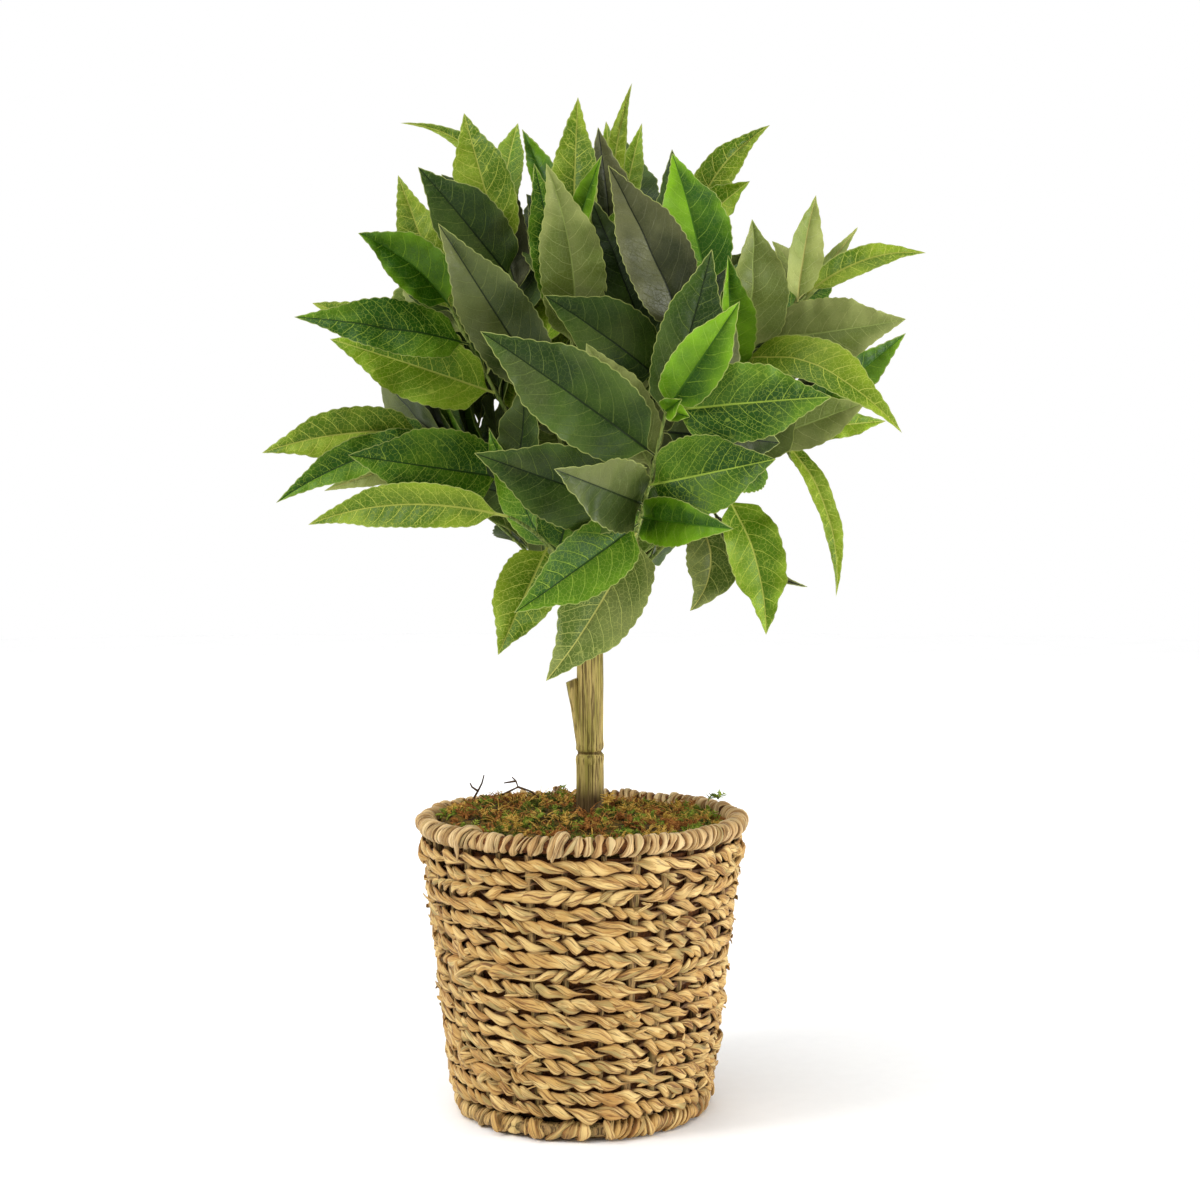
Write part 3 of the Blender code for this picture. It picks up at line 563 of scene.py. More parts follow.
class Limbs:
    """The lines that the sprays' stems and the boughs follow."""

    def __init__(self) -> None:
        """Work out every line."""
        self.stems = {spray.name: self.stem_line(spray) for spray in SPRAYS}
        self.boughs = self.bough_lines()

    def stem_line(self, spray: Spray) -> Line:
        """The three places that a spray's stem is drawn through.

        Args:
            spray: The spray.

        Returns:
            Its root, the place its curve is drawn to, and its tip.
        """
        root, bend, tip = EYE.seen(*spray.root), EYE.seen(*spray.bend), EYE.seen(*spray.tip)
        if spray.spring is Spring.TRUNK:
            height = TRUNK.top[0] - LIMB.low_shoot_drop
            bend = root.lerp(bend, 0.5)
            ahead = (bend - Vector((TRUNK.across, 0.0, height))).normalized()
            outward = Vector((root.x - TRUNK.across, root.y, 0.0)).normalized()
            root = TRUNK.beside(outward, height, ahead, LIMB.stem_radius)
        return root, bend, tip

    def stem_point(self, name: str, share: float) -> Vector:
        """A point on a stem as the part builds it, from straight pieces along its curve.

        Args:
            name: The spray's name.
            share: Share of the way along the stem.

        Returns:
            The point.
        """
        steps = LIMB.stem_stations - 1
        step = min(int(share * steps), steps - 1)
        low = curve_point(*self.stems[name], step / steps)
        high = curve_point(*self.stems[name], (step + 1) / steps)
        return low.lerp(high, share * steps - step)

    def azimuth(self, place: Vector) -> float:
        """Direction of a place round the trunk."""
        return math.atan2(place.y, place.x - TRUNK.across)

    def bough_lines(self) -> dict[str, tuple[Vector, Vector, Vector, Vector]]:
        """Each bough's start on the trunk, bend, end at its spray's stem, and heading there.

        Returns:
            The lines, by the spray's name.
        """
        lines = {}
        for spring in (Spring.OUTER, Spring.INNER, Spring.SIDE):
            group = [spray for spray in SPRAYS if spray.spring is spring]
            group.sort(key=lambda spray: self.azimuth(EYE.seen(*spray.root)))
            turns = [self.azimuth(EYE.seen(*spray.root)) for spray in group]
            step = tau / max(len(turns), 1)
            offset = sum(turn - k * step for k, turn in enumerate(turns)) / max(len(turns), 1)
            for k, spray in enumerate(group):
                lines[spray.name] = self.bough_line(spray, polar(offset + k * step))
        return lines

    def bough_line(self, spray: Spray, outward: Vector) -> tuple[Vector, Vector, Vector, Vector]:
        """One bough's foot, middle, end and heading.

        Args:
            spray: The spray that the bough carries.
            outward: The way from the trunk's axis to the bough's foot.

        Returns:
            The bough's foot, the place its curve is drawn to, its end, and its heading there.
        """
        root, bend, _ = self.stems[spray.name]
        heading = (bend - root).normalized()
        end = root - heading * GAP
        if spray.spring is Spring.SIDE:
            lean = outward * LIMB.side_reach + UP * LIMB.side_rise
            foot = TRUNK.beside(outward, TRUNK.top[0] - LIMB.shoot_drop, lean.normalized(),
                                LIMB.bough_radius)
            middle = foot + lean
        else:
            foot = Vector((TRUNK.across, 0.0, TRUNK.top[0] + GAP))
            foot += outward * (LIMB.outer_ring if spray.spring is Spring.OUTER else LIMB.inner_ring)
            middle = foot + UP * LIMB.bough_rise + outward * LIMB.bough_lean
        return foot, middle, end, heading

    def trees(self) -> list[tuple[str, BVHTree]]:
        """The trunk, boughs and stems as shapes that leaves must not touch.

        Returns:
            Pairs of a name and the shape to test.
        """
        trees = [("trunk", BVHTree.FromPolygons(*skin(TRUNK.rings())))]
        for name, line in self.boughs.items():
            rings = tapered(*line, (LIMB.bough_radius + LIMB.margin,) * 2,
                            LIMB.bough_sides, LIMB.bough_stations)
            trees.append((name + "_bough", BVHTree.FromPolygons(*skin(rings))))
        for name, (start, bend, end) in self.stems.items():
            rings = tapered(start, bend, end, (end - bend).normalized(),
                            (LIMB.stem_radius + LIMB.margin,) * 2,
                            LIMB.stem_sides, LIMB.stem_stations)
            trees.append((name, BVHTree.FromPolygons(*skin(rings))))
        return trees


class Crown:
    """Grows every spray's leaves by the part's rule, so that none touches another."""

    def __init__(self, limbs: Limbs) -> None:
        """Start with the limbs and no leaves.

        Args:
            limbs: The boughs' and stems' lines.
        """
        self.limbs = limbs
        self.trees = [(name, tree, tree) for name, tree in limbs.trees()]
        self.blades: dict[str, list[Blade]] = {spray.name: [] for spray in SPRAYS}
        self.screen: BVHTree | None = None

    def grow(self) -> None:
        """Set the leaves that show, then the ones that fill the crown behind them."""
        for spray in SPRAYS:
            self.grow_named(spray)
        self.raise_screen()
        for number, spray in enumerate(SPRAYS):
            self.grow_fillers(spray, number, FILL)
        for number, spray in enumerate(SPRAYS):
            self.grow_fillers(spray, number + len(SPRAYS), SMALL)

    def rings(self, blade: Blade, thickness: float, start: float = 0.0) -> list[tuple[Vector, ...]]:
        """Rings of four points along a blade: left edge, upper rib, right edge, lower rib.

        Args:
            blade: The leaf.
            thickness: Its thickness at the rib.
            start: The share of its length before which it has no rings.

        Returns:
            The rings, ending with the tip alone.
        """
        rings = []
        for share in BLADE.stations:
            share = max(share, start)
            centre, face, beside = blade.frame(share)
            half = max(blade.width / 2 * BLADE.outline(share), BLADE.stalk_half_width)
            edge = face * (half * blade.fold)
            rib = face * (thickness / 2)
            rings.append((centre + beside * half + edge, centre + rib,
                          centre - beside * half + edge, centre - rib))
        rings.append((blade.tip,))
        return rings

    def tree(self, blade: Blade, start: float = 0.0) -> BVHTree:
        """A slightly thickened copy of a blade, to test what it would touch."""
        return BVHTree.FromPolygons(*skin(self.rings(blade, BLADE.test_thickness, start)))

    def samples(self, blade: Blade) -> list[Vector]:
        """Places along the middle and both edges of a blade's outer part.

        Args:
            blade: The leaf.

        Returns:
            The places.
        """
        half = (blade.tip - blade.root).cross(blade.normal).normalized() * (blade.width / 2)
        places = []
        for share in FILL.samples:
            middle = blade.root.lerp(blade.tip, share)
            reach = half * BLADE.outline(share)
            places.extend((middle - reach, middle, middle + reach))
        return places

    def normal(self, root: Vector, tip: Vector, face: float, roll: float) -> Vector:
        """The way a blade's upper side faces: outward and up, drawn to the front, and rolled.

        Args:
            root: The leaf's foot.
            tip: Its tip.
            face: How far it is drawn to the front, 0 to 1.
            roll: Its roll about its length, in degrees.

        Returns:
            The way, one metre long.
        """
        chord = (tip - root).normalized()
        outward = (root.lerp(tip, 0.5) - FILL.middle).normalized() + UP * BLADE.face_rise
        facing = outward.lerp(FRONT, face)
        normal = (facing - chord * facing.dot(chord)).normalized()
        return Matrix.Rotation(radians(roll), 3, chord) @ normal

    def clear(self, owner: str, blade: Blade) -> bool:
        """Whether a blade touches no limb and no blade that is there.

        Args:
            owner: The blade's spray.
            blade: The leaf.

        Returns:
            True where it is clear.
        """
        near = self.tree(blade, BLADE.test_start)
        full = self.tree(blade)
        for name, tree, trimmed in self.trees:
            if near.overlap(trimmed) if name == owner else full.overlap(tree):
                return False
        return True

    def keep(self, owner: str, blade: Blade) -> None:
        """Add a blade to its spray."""
        self.blades[owner].append(blade)
        self.trees.append((owner, self.tree(blade), self.tree(blade, BLADE.test_start)))

    def grow_named(self, spray: Spray) -> None:
        """Set the leaves that show, each turned or moved a little until it is clear.

        Args:
            spray: The spray.
        """
        for leaf in spray.leaves:
            root = self.limbs.stem_point(spray.name, leaf.share)
            tries = sorted(((shift, turn) for shift in BLADE.shifts for turn in BLADE.turns),
                           key=lambda pair: abs(pair[0]) + abs(pair[1]) * BLADE.turn_cost)
            for shift, turn in tries:
                tip = EYE.seen(leaf.across, leaf.up, leaf.out + shift)
                normal = self.normal(root, tip, leaf.face, turn)
                blade = Blade(root, tip, normal, leaf.width * MM, leaf.bow, leaf.sway,
                              BLADE.named_fold, leaf.tone)
                if self.clear(spray.name, blade):
                    self.keep(spray.name, blade)
                    break

    def raise_screen(self) -> None:
        """Note the leaves that show, which the filling leaves hide behind."""
        points = []
        faces = []
        for blades in self.blades.values():
            for blade in blades:
                some, sides = skin(self.rings(blade, BLADE.thickness))
                faces.extend(tuple(k + len(points) for k in side) for side in sides)
                points.extend(some)
        self.screen = BVHTree.FromPolygons(points, faces)

    def in_crown(self, place: Vector) -> bool:
        """Whether a place lies in the space that the filling leaves keep to.

        Args:
            place: The place.

        Returns:
            True where it does.
        """
        hanging = abs(place.x - TRUNK.across) < FILL.hanging_reach
        if place.z < (FILL.floor if hanging else FILL.skirt):
            return False
        offset = place - FILL.middle
        share = Vector((offset.x / FILL.reach.x, offset.y / FILL.reach.y, offset.z / FILL.reach.z))
        return share.length < 1.0

    def in_heart(self, place: Vector) -> bool:
        """Whether a place is seen in the middle of the crown, away from its edge.

        Args:
            place: The place.

        Returns:
            True where it is.
        """
        nearer = (EYE.distance + place.y) / EYE.distance
        across = EYE.across + (place.x - EYE.across) / nearer - FILL.heart_middle[0]
        up = EYE.height + (place.z - EYE.height) / nearer - FILL.heart_middle[1]
        return hypot(across / FILL.heart_reach[0], up / FILL.heart_reach[1]) < 1.0

    def stays_behind(self, blade: Blade, open_front: float) -> bool:
        """Whether a blade is hidden by the leaves that show, or shows only in the heart.

        Args:
            blade: The leaf.
            open_front: How far back its tip lies at least where it may show.

        Returns:
            True where it is.
        """
        for place in self.samples(blade):
            ahead = EYE.place() - place
            if self.screen.ray_cast(place, ahead, ahead.length)[0] is not None:
                continue
            if blade.tip.y < open_front or not self.in_heart(place):
                return False
        return True

    def has_room(self, owner: str, blade: Blade, open_front: float) -> bool:
        """Whether a filling leaf keeps to the crown, stays behind, and is clear.

        Args:
            owner: The blade's spray.
            blade: The leaf.
            open_front: As for stays_behind.

        Returns:
            True where it does.
        """
        if not all(self.in_crown(place) for place in self.samples(blade)):
            return False
        return self.stays_behind(blade, open_front) and self.clear(owner, blade)

    def grow_fillers(self, spray: Spray, seed: int, rule: FillRule) -> None:
        """Set leaves round the stem by the golden angle, and skip those with no room.

        Args:
            spray: The spray.
            seed: The seed of its chance.
            rule: The sizes and turns of its leaves.
        """
        draw = Random(seed)
        start, bend, end = self.limbs.stems[spray.name]
        count = rule.count or spray.fillers
        for k in range(count):
            share = mix(rule.start, 1.0, (k + 0.5) / count)
            root = self.limbs.stem_point(spray.name, share)
            ahead = (bend.lerp(end, share) - start.lerp(bend, share)).normalized()
            turn = seed * rule.tone_steps[0] + k * rule.tone_steps[1]
            tone = rule.tones[turn % len(rule.tones)]
            for attempt in range(rule.tries):
                turn = rule.golden * (k + attempt * rule.next_try)
                turn += draw.uniform(-rule.turn_spread, rule.turn_spread)
                lean = mix(*rule.lean, share) + draw.uniform(-rule.lean_spread, rule.lean_spread)
                length = draw.uniform(*rule.length)
                width = length * draw.uniform(*rule.width)
                roll = draw.uniform(-rule.roll, rule.roll)
                bow = draw.uniform(*rule.bow)
                sway = draw.uniform(-rule.sway, rule.sway)
                fold = draw.uniform(*rule.fold)
                away = Matrix.Rotation(turn, 3, ahead) @ ahead.orthogonal().normalized()
                lean = radians(lean)
                tip = root + (ahead * cos(lean) + away * sin(lean)) * length
                normal = self.normal(root, tip, 0.0, roll)
                blade = Blade(root, tip, normal, width, bow, sway, fold, tone)
                if self.has_room(spray.name, blade, rule.open_front):
                    self.keep(spray.name, blade)
                    break


# Meshes

def link(name: str, data: bpy.types.ID) -> Thing:
    """Put some data in the scene as a new object.

    Args:
        name: The object's name.
        data: The mesh, curve, light or camera.

    Returns:
        The object.
    """
    thing = bpy.data.objects.new(name, data)
    bpy.context.scene.collection.objects.link(thing)
    return thing


def show(name: str, mesh: bpy.types.Mesh, materials: list[Material]) -> Thing:
    """Put a mesh in the scene as a piece of the part.

    Args:
        name: The piece's name.
        mesh: Its mesh.
        materials: The finishes of its slots.

    Returns:
        The object, riding on the part's body.
    """
    thing = link(name, mesh)
    for material in materials:
        mesh.materials.append(material)
    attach(thing, BODY)
    log.info("%s: %d faces", name, len(mesh.polygons))
    return thing


class Skin:
    """Gathers closed skins, each bent from a grid, into one mesh with its own UV maps."""

    def __init__(self, name: str, *materials: Material) -> None:
        """Start an empty mesh.

        Args:
            name: The piece's name.
            materials: The finishes of its first slots.
        """
        self.name = name
        self.bm = bmesh.new()
        self.span = self.bm.loops.layers.uv.new("span")
        self.edge = self.bm.loops.layers.uv.new("edge")
        self.materials = list(materials)

    def slot(self, material: Material) -> int:
        """The number of a material's slot, which is added if it is new.

        Args:
            material: The finish.

        Returns:
            The slot's number.
        """
        if material not in self.materials:
            self.materials.append(material)
        return self.materials.index(material)

    def bend(self, columns: int, rows: int, place: Place, span: Pattern,
             edge: Pattern | None = None,
             slot: Callable[[float, float], int] | None = None) -> None:
        """Bend a grid into a closed skin, by what it is told for two shares of the grid.

        Args:
            columns: Faces across the grid.
            rows: Faces along it.
            place: Gives the place of a vertex.
            span: Gives its point on the pattern that follows the surface, in centimetres.
            edge: Gives a second such point: on a leaf, the way to the nearest edge; on grass, the
                masks of painted shade on its edges and its hollows.
            slot: Gives the slot of a face.
        """
        made = bmesh.ops.create_grid(self.bm, x_segments=columns, y_segments=rows, size=1.0)
        shares = {vert: ((vert.co.x + 1.0) / 2, (vert.co.y + 1.0) / 2) for vert in made["verts"]}
        for vert, pair in shares.items():
            vert.co = place(*pair)
        for face in {face for vert in shares for face in vert.link_faces}:
            middle = [0.0, 0.0]
            for loop in face.loops:
                a, b = shares[loop.vert]
                loop[self.span].uv = span(a, b)
                if edge:
                    loop[self.edge].uv = edge(a, b)
                middle[0] += a / 4
                middle[1] += b / 4
            face.material_index = slot(*middle) if slot else 0
            face.smooth = True
        bmesh.ops.remove_doubles(self.bm, verts=list(shares), dist=MERGE)

    def strip(self, places: list[Vector], widths: Pair, half_thickness: float, facing: Vector,
              draw: Random, steps: int = 14) -> None:
        """Lay a flat strand with closed pointed ends along a smooth line.

        Args:
            places: Places that the line goes through.
            widths: The bounds of half its width.
            half_thickness: Half its thickness.
            facing: The way its flat side faces.
            draw: Seeded chance.
            steps: Faces along it.
        """
        half_width = draw.uniform(*widths)
        offset = draw.uniform(*STRIP.offset)
        length = sum((b - a).length for a, b in zip(places, places[1:])) / CM

        def place(turn: float, share: float) -> Vector:
            """A place on the strand.

            Args:
                turn: Share of the way round.
                share: Share of the way along.

            Returns:
                The place.
            """
            centre = through(places, share)
            if not 0.0 < share < 1.0:
                return centre
            ahead = through(places, share + STRIP.look) - through(places, share - STRIP.look)
            across = ahead.normalized().cross(facing).normalized()
            about = tau * turn
            taper = ends(share, STRIP.point, STRIP.point) ** STRIP.bluntness
            flat = half_thickness * cos(about) * taper
            return centre + across * (half_width * sin(about) * taper) + facing * flat

        # The second pattern carries painted shade: darker towards the strand's edges, and the fixed
        # crevice shade.
        self.bend(STRIP.sides, steps, place,
                  lambda turn, share: (share * length + offset, turn * STRIP.girth + offset),
                  lambda turn, share: (abs(sin(tau * turn)), STRIP.crevice_shade))

    def finish(self, sharp: float = 60.0) -> Thing:
        """Turn the skins' faces outwards and make the piece's object.

        Args:
            sharp: Edges bent by more degrees than this stay sharp.

        Returns:
            The object, at the origin, riding on the part's body.
        """
        bmesh.ops.dissolve_degenerate(self.bm, dist=MERGE, edges=self.bm.edges[:])
        bmesh.ops.recalc_face_normals(self.bm, faces=self.bm.faces[:])
        mesh = bpy.data.meshes.new(self.name)
        self.bm.to_mesh(mesh)
        self.bm.free()
        mesh.set_sharp_from_angle(angle=radians(sharp))
        return show(self.name, mesh, self.materials)


class Threads:
    """Gathers thin tapering rods along smooth lines into one mesh."""

    def __init__(self, name: str, sides: int = 8) -> None:
        """Start with no rods.

        Args:
            name: The piece's name.
            sides: Faces round each rod, 4 or more.
        """
        self.name = name
        self.curve = bpy.data.curves.new(name, "CURVE")
        self.curve.dimensions = "3D"
        self.curve.bevel_depth = 1.0
        self.curve.bevel_resolution = (sides - 4) // 2
        self.curve.use_fill_caps = True

    def lay(self, places: list[Vector], radii: list[float]) -> None:
        """Lay one rod through some places.

        Args:
            places: The places, in order.
            radii: The radius at each.
        """
        spline = self.curve.splines.new("POLY")
        spline.points.add(len(places) - 1)
        for point, place, radius in zip(spline.points, places, radii):
            point.co = (*place, 1.0)
            point.radius = radius

    def finish(self, material: Material) -> Thing:
        """Make the rods a mesh and show it as one piece.

        Args:
            material: Their finish.

        Returns:
            The object.
        """
        thing = link(self.name, self.curve)
        graph = bpy.context.evaluated_depsgraph_get()
        mesh = bpy.data.meshes.new_from_object(thing.evaluated_get(graph))
        bpy.data.objects.remove(thing, do_unlink=True)
        mesh.shade_smooth()
        mesh.materials.clear()
        return show(self.name, mesh, [material])


# Finishes

def paint(red: int, green: int, blue: int) -> Colour:
    """A colour as the eye sees it, 0 to 255, turned into light."""
    return tuple((value / 255) ** 2.2 for value in (red, green, blue))


class Graph:
    """Adds and links the nodes of one material."""

    def __init__(self, name: str) -> None:
        """Start a material that has only its shader and its output.

        Args:
            name: The material's name.
        """
        self.material = bpy.data.materials.new(name)
        self.material.use_nodes = True
        self.tree = self.material.node_tree

    def fill(self, node: bpy.types.Node, inputs: dict) -> None:
        """Link or set some of a node's inputs.

        Args:
            node: The node.
            inputs: Sockets, numbers, vectors or colours, by the input's name or number.
        """
        for key, value in inputs.items():
            target = node.inputs[key]
            if isinstance(value, Socket):
                self.tree.links.new(value, target)
            else:
                target.default_value = (*value, 1.0) if target.type == "RGBA" else value

    def node(self, kind: str, inputs: dict, **settings: str) -> bpy.types.Node:
        """Add a node.

        Args:
            kind: The node's type, without its prefix.
            inputs: Its inputs, as for fill.
            settings: Its own settings.

        Returns:
            The node.
        """
        node = self.tree.nodes.new("ShaderNode" + kind)
        for name, value in settings.items():
            setattr(node, name, value)
        self.fill(node, inputs)
        return node

    def math(self, operation: str, *values: Input) -> Socket:
        """The result of a sum on up to three numbers or sockets."""
        return self.node("Math", dict(enumerate(values)), operation=operation).outputs[0]

    def step(self, value: Input, low: float, high: float, to_low: float = 0.0,
             to_high: float = 1.0) -> Socket:
        """A smooth step of a value between two bounds."""
        inputs = {0: value, 1: low, 2: high, 3: to_low, 4: to_high}
        return self.node("MapRange", inputs, interpolation_type="SMOOTHSTEP").outputs[0]

    def layers(self, colour: Shade, *layers: tuple[Input, Shade]) -> Socket:
        """Lay colours over one another.

        Args:
            colour: The colour at the bottom.
            layers: How far each covers what is below it, 0 to 1, and its colour.

        Returns:
            The colour that shows.
        """
        for share, over in layers:
            colour = self.node("Mix", {0: share, 6: colour, 7: over}, data_type="RGBA").outputs[2]
        return colour

    def noise(self, vector: Socket, scale: float, detail: float = 3.0,
              roughness: float = 0.55) -> Socket:
        """Soft noise about one half."""
        inputs = {"Vector": vector, "Scale": scale, "Detail": detail, "Roughness": roughness}
        return self.node("TexNoise", inputs).outputs[0]

    def drawn(self, vector: Socket, stretch: Triple, scale: float, detail: float = 3.0,
              roughness: float = 0.55) -> Socket:
        """Soft noise on a vector with its three parts scaled."""
        vector = self.node("Mapping", {"Vector": vector, "Scale": stretch}).outputs[0]
        return self.noise(vector, scale, detail, roughness)

    def place(self) -> Socket:
        """The place on the piece, in metres."""
        return self.node("TexCoord", {}).outputs["Object"]

    def uv(self, name: str) -> Socket:
        """The point on one of the piece's own UV maps."""
        return self.node("UVMap", {}, uv_map=name).outputs[0]

    def parts(self, vector: Socket) -> list[Socket]:
        """The three parts of a vector."""
        return list(self.node("SeparateXYZ", {0: vector}).outputs)

    def finish(self, colour: Socket, roughness: Input, height: Socket, depth: float,
               strength: float, **plain: float) -> Material:
        """Link the results to the shader.

        Args:
            colour: The base colour.
            roughness: The roughness.
            height: The relief.
            depth: The relief's depth in metres.
            strength: The relief's strength.
            plain: Numbers for the shader's other inputs, with _ for a space.

        Returns:
            The finished material.
        """
        bump = self.node("Bump", {"Height": height, "Distance": depth, "Strength": strength})
        inputs = {name.replace("_", " "): value for name, value in plain.items()}
        inputs |= {"Base Color": colour, "Roughness": roughness, "Normal": bump.outputs[0]}
        self.fill(self.tree.nodes["Principled BSDF"], inputs)
        return self.material


@dataclass(frozen=True)
class LeafFinish:
    """Printed cloth of a leaf in one tone, with its veins, waxed to a satin sheen; painted light
    and shade lightens one half, and dust patches carry a painted sheen.
    """
    name: str
    base: Colour
    light: Colour
    vein: Colour
    rib: Colour
    rim: Colour = paint(160, 168, 92)
    # Dust and painted sheen: a greyish colour laid in patches, more on the lighter half, for both
    # dust and the satin highlight.
    dust: Colour = paint(110, 112, 74)
    dusty: float = 0.0
    net: float = 0.45
    side: float = 0.8
    gloss: float = 0.42
    shine: float = 0.2
    # Painted light and shade: how much lighter one half of the leaf is than the other, as a fold to
    # the light would make it.
    halves: float = 0.34
    half_scale: float = 17.0
    rim_share: float = 0.7
    rim_width: Pair = (0.018, 0.055)
    rib_width: float = 0.055
    rib_taper: float = -0.035
    vein_pitch: float = 0.76
    vein_lean: float = 0.42
    vein_curve: float = 0.52
    vein_wander: float = 0.42
    wander_scale: float = 75.0
    vein_width: Pair = (0.010, 0.038)
    vein_end: Pair = (0.03, 0.3)
    net_cells: float = 460.0
    net_width: Pair = (0.012, 0.060)
    drift_scale: float = 26.0
    fine_scale: float = 900.0
    dust_and_sheen_scale: float = 38.0
    relief: float = 0.00035
    relief_strength: float = 0.55

    def veins(self, graph: Graph, span: list[Socket], edge: list[Socket],
              place: Socket) -> tuple[Socket, Socket, Socket]:
        """The leaf's side veins, the net between them and its rib.

        Args:
            graph: The material's nodes.
            span: The way across the leaf and along it, in centimetres.
            edge: The way to the nearest edge, and the share of the length.
            place: The place on the piece.

        Returns:
            How strongly the side veins, the net and the rib show, each 0 to 1.
        """
        across = graph.math("ABSOLUTE", span[0])
        lean = graph.math("MULTIPLY", across, self.vein_lean)
        curve = graph.math("MULTIPLY", graph.math("POWER", across, 2.0), self.vein_curve)
        along = graph.math("SUBTRACT", graph.math("SUBTRACT", span[1], lean), curve)
        wander = graph.noise(place, self.wander_scale, 2.0)
        along = graph.math("MULTIPLY_ADD", wander, self.vein_wander, along)
        staggered = graph.math("MULTIPLY", graph.math("GREATER_THAN", span[0], 0.0), 0.5)
        count = graph.math("ADD", graph.math("DIVIDE", along, self.vein_pitch), staggered)
        off = graph.math("ABSOLUTE", graph.math("SUBTRACT", graph.math("FRACT", count), 0.5))
        side = graph.math("MULTIPLY", graph.step(off, *self.vein_width, 1.0, 0.0),
                          graph.step(edge[0], *self.vein_end))
        cells = graph.node("TexVoronoi", {"Vector": place, "Scale": self.net_cells,
                                          "Randomness": 1.0}, feature="DISTANCE_TO_EDGE")
        net = graph.step(cells.outputs["Distance"], *self.net_width, 1.0, 0.0)
        width = graph.math("MULTIPLY_ADD", edge[1], self.rib_taper, self.rib_width)
        rib = graph.step(graph.math("DIVIDE", across, width), 0.7, 1.3, 1.0, 0.0)
        return side, net, rib

    def ground(self, graph: Graph, span: list[Socket], edge: list[Socket], place: Socket,
               drift: Socket, fine: Socket) -> Socket:
        """The colour under the veins: printed tone, painted light and shade on the two halves, and
        dust with a painted sheen.

        Args:
            graph: The material's nodes.
            span: As for veins.
            edge: As for veins.
            place: The place on the piece.
            drift: Slow noise.
            fine: Fine noise.

        Returns:
            The colour.
        """
        # Painted light and shade: noise picks one half of the leaf to lighten and darkens the
        # other, as a fold would light them.
        half = graph.math("MULTIPLY_ADD", graph.math("GREATER_THAN", span[0], 0.0), 2.0, -1.0)
        swing = graph.noise(place, self.half_scale, 1.0)
        half = graph.math("MULTIPLY", half,
                          graph.step(swing, 0.42, 0.58, -self.halves, self.halves))
        share = graph.math("MULTIPLY_ADD", drift, 0.7, -0.22)
        share = graph.math("MULTIPLY_ADD", fine, 0.24, share)
        share = graph.math("ADD", share, half)
        share = graph.math("ADD", share, graph.step(edge[0], 0.0, 0.7, 0.42, 0.0))
        # Dust and painted sheen, in patches, leaning to the lighter half.
        dust_and_sheen_mask = graph.drawn(place, (1.0, 1.0, 0.7), self.dust_and_sheen_scale, 3.0, 0.5)
        dust_and_sheen_mask = graph.math("ADD", dust_and_sheen_mask, graph.math("MULTIPLY", half, 0.3))
        return graph.layers(self.base, (share, self.light),
                            (graph.step(dust_and_sheen_mask, 0.44, 0.74, 0.0, self.dusty), self.dust))

    def material(self) -> Material:
        """Make the material.

        Returns:
            The material.
        """
        graph = Graph(self.name)
        span, edge = graph.parts(graph.uv("span")), graph.parts(graph.uv("edge"))
        place = graph.place()
        side, net, rib = self.veins(graph, span, edge, place)
        drift = graph.step(graph.noise(place, self.drift_scale, 3.0), 0.38, 0.66)
        fine = graph.noise(place, self.fine_scale, 2.0)
        colour = graph.layers(
            self.ground(graph, span, edge, place, drift, fine),
            (graph.math("MULTIPLY", net, self.net), self.vein),
            (graph.math("MULTIPLY", side, self.side), self.vein),
            (rib, self.rib),
            (graph.step(edge[0], *self.rim_width, self.rim_share, 0.0), self.rim))
        rough = graph.math("MULTIPLY_ADD", drift, 0.12, self.gloss)
        rough = graph.math("MULTIPLY_ADD", net, 0.06, rough)
        height = graph.math("MULTIPLY", graph.math("MAXIMUM", side, rib), -1.0)
        height = graph.math("MULTIPLY_ADD", net, -0.5, height)
        height = graph.math("MULTIPLY_ADD", fine, 0.35, height)
        return graph.finish(colour, rough, height, self.relief, self.relief_strength,
                            Specular_IOR_Level=self.shine)


def leaf(name: str, *colours: Triple, **more: float) -> LeafFinish:
    """A leaf's finish, from its base, light, vein and rib colours as the eye sees them."""
    return LeafFinish("leaf_" + name, *(paint(*colour) for colour in colours), **more)


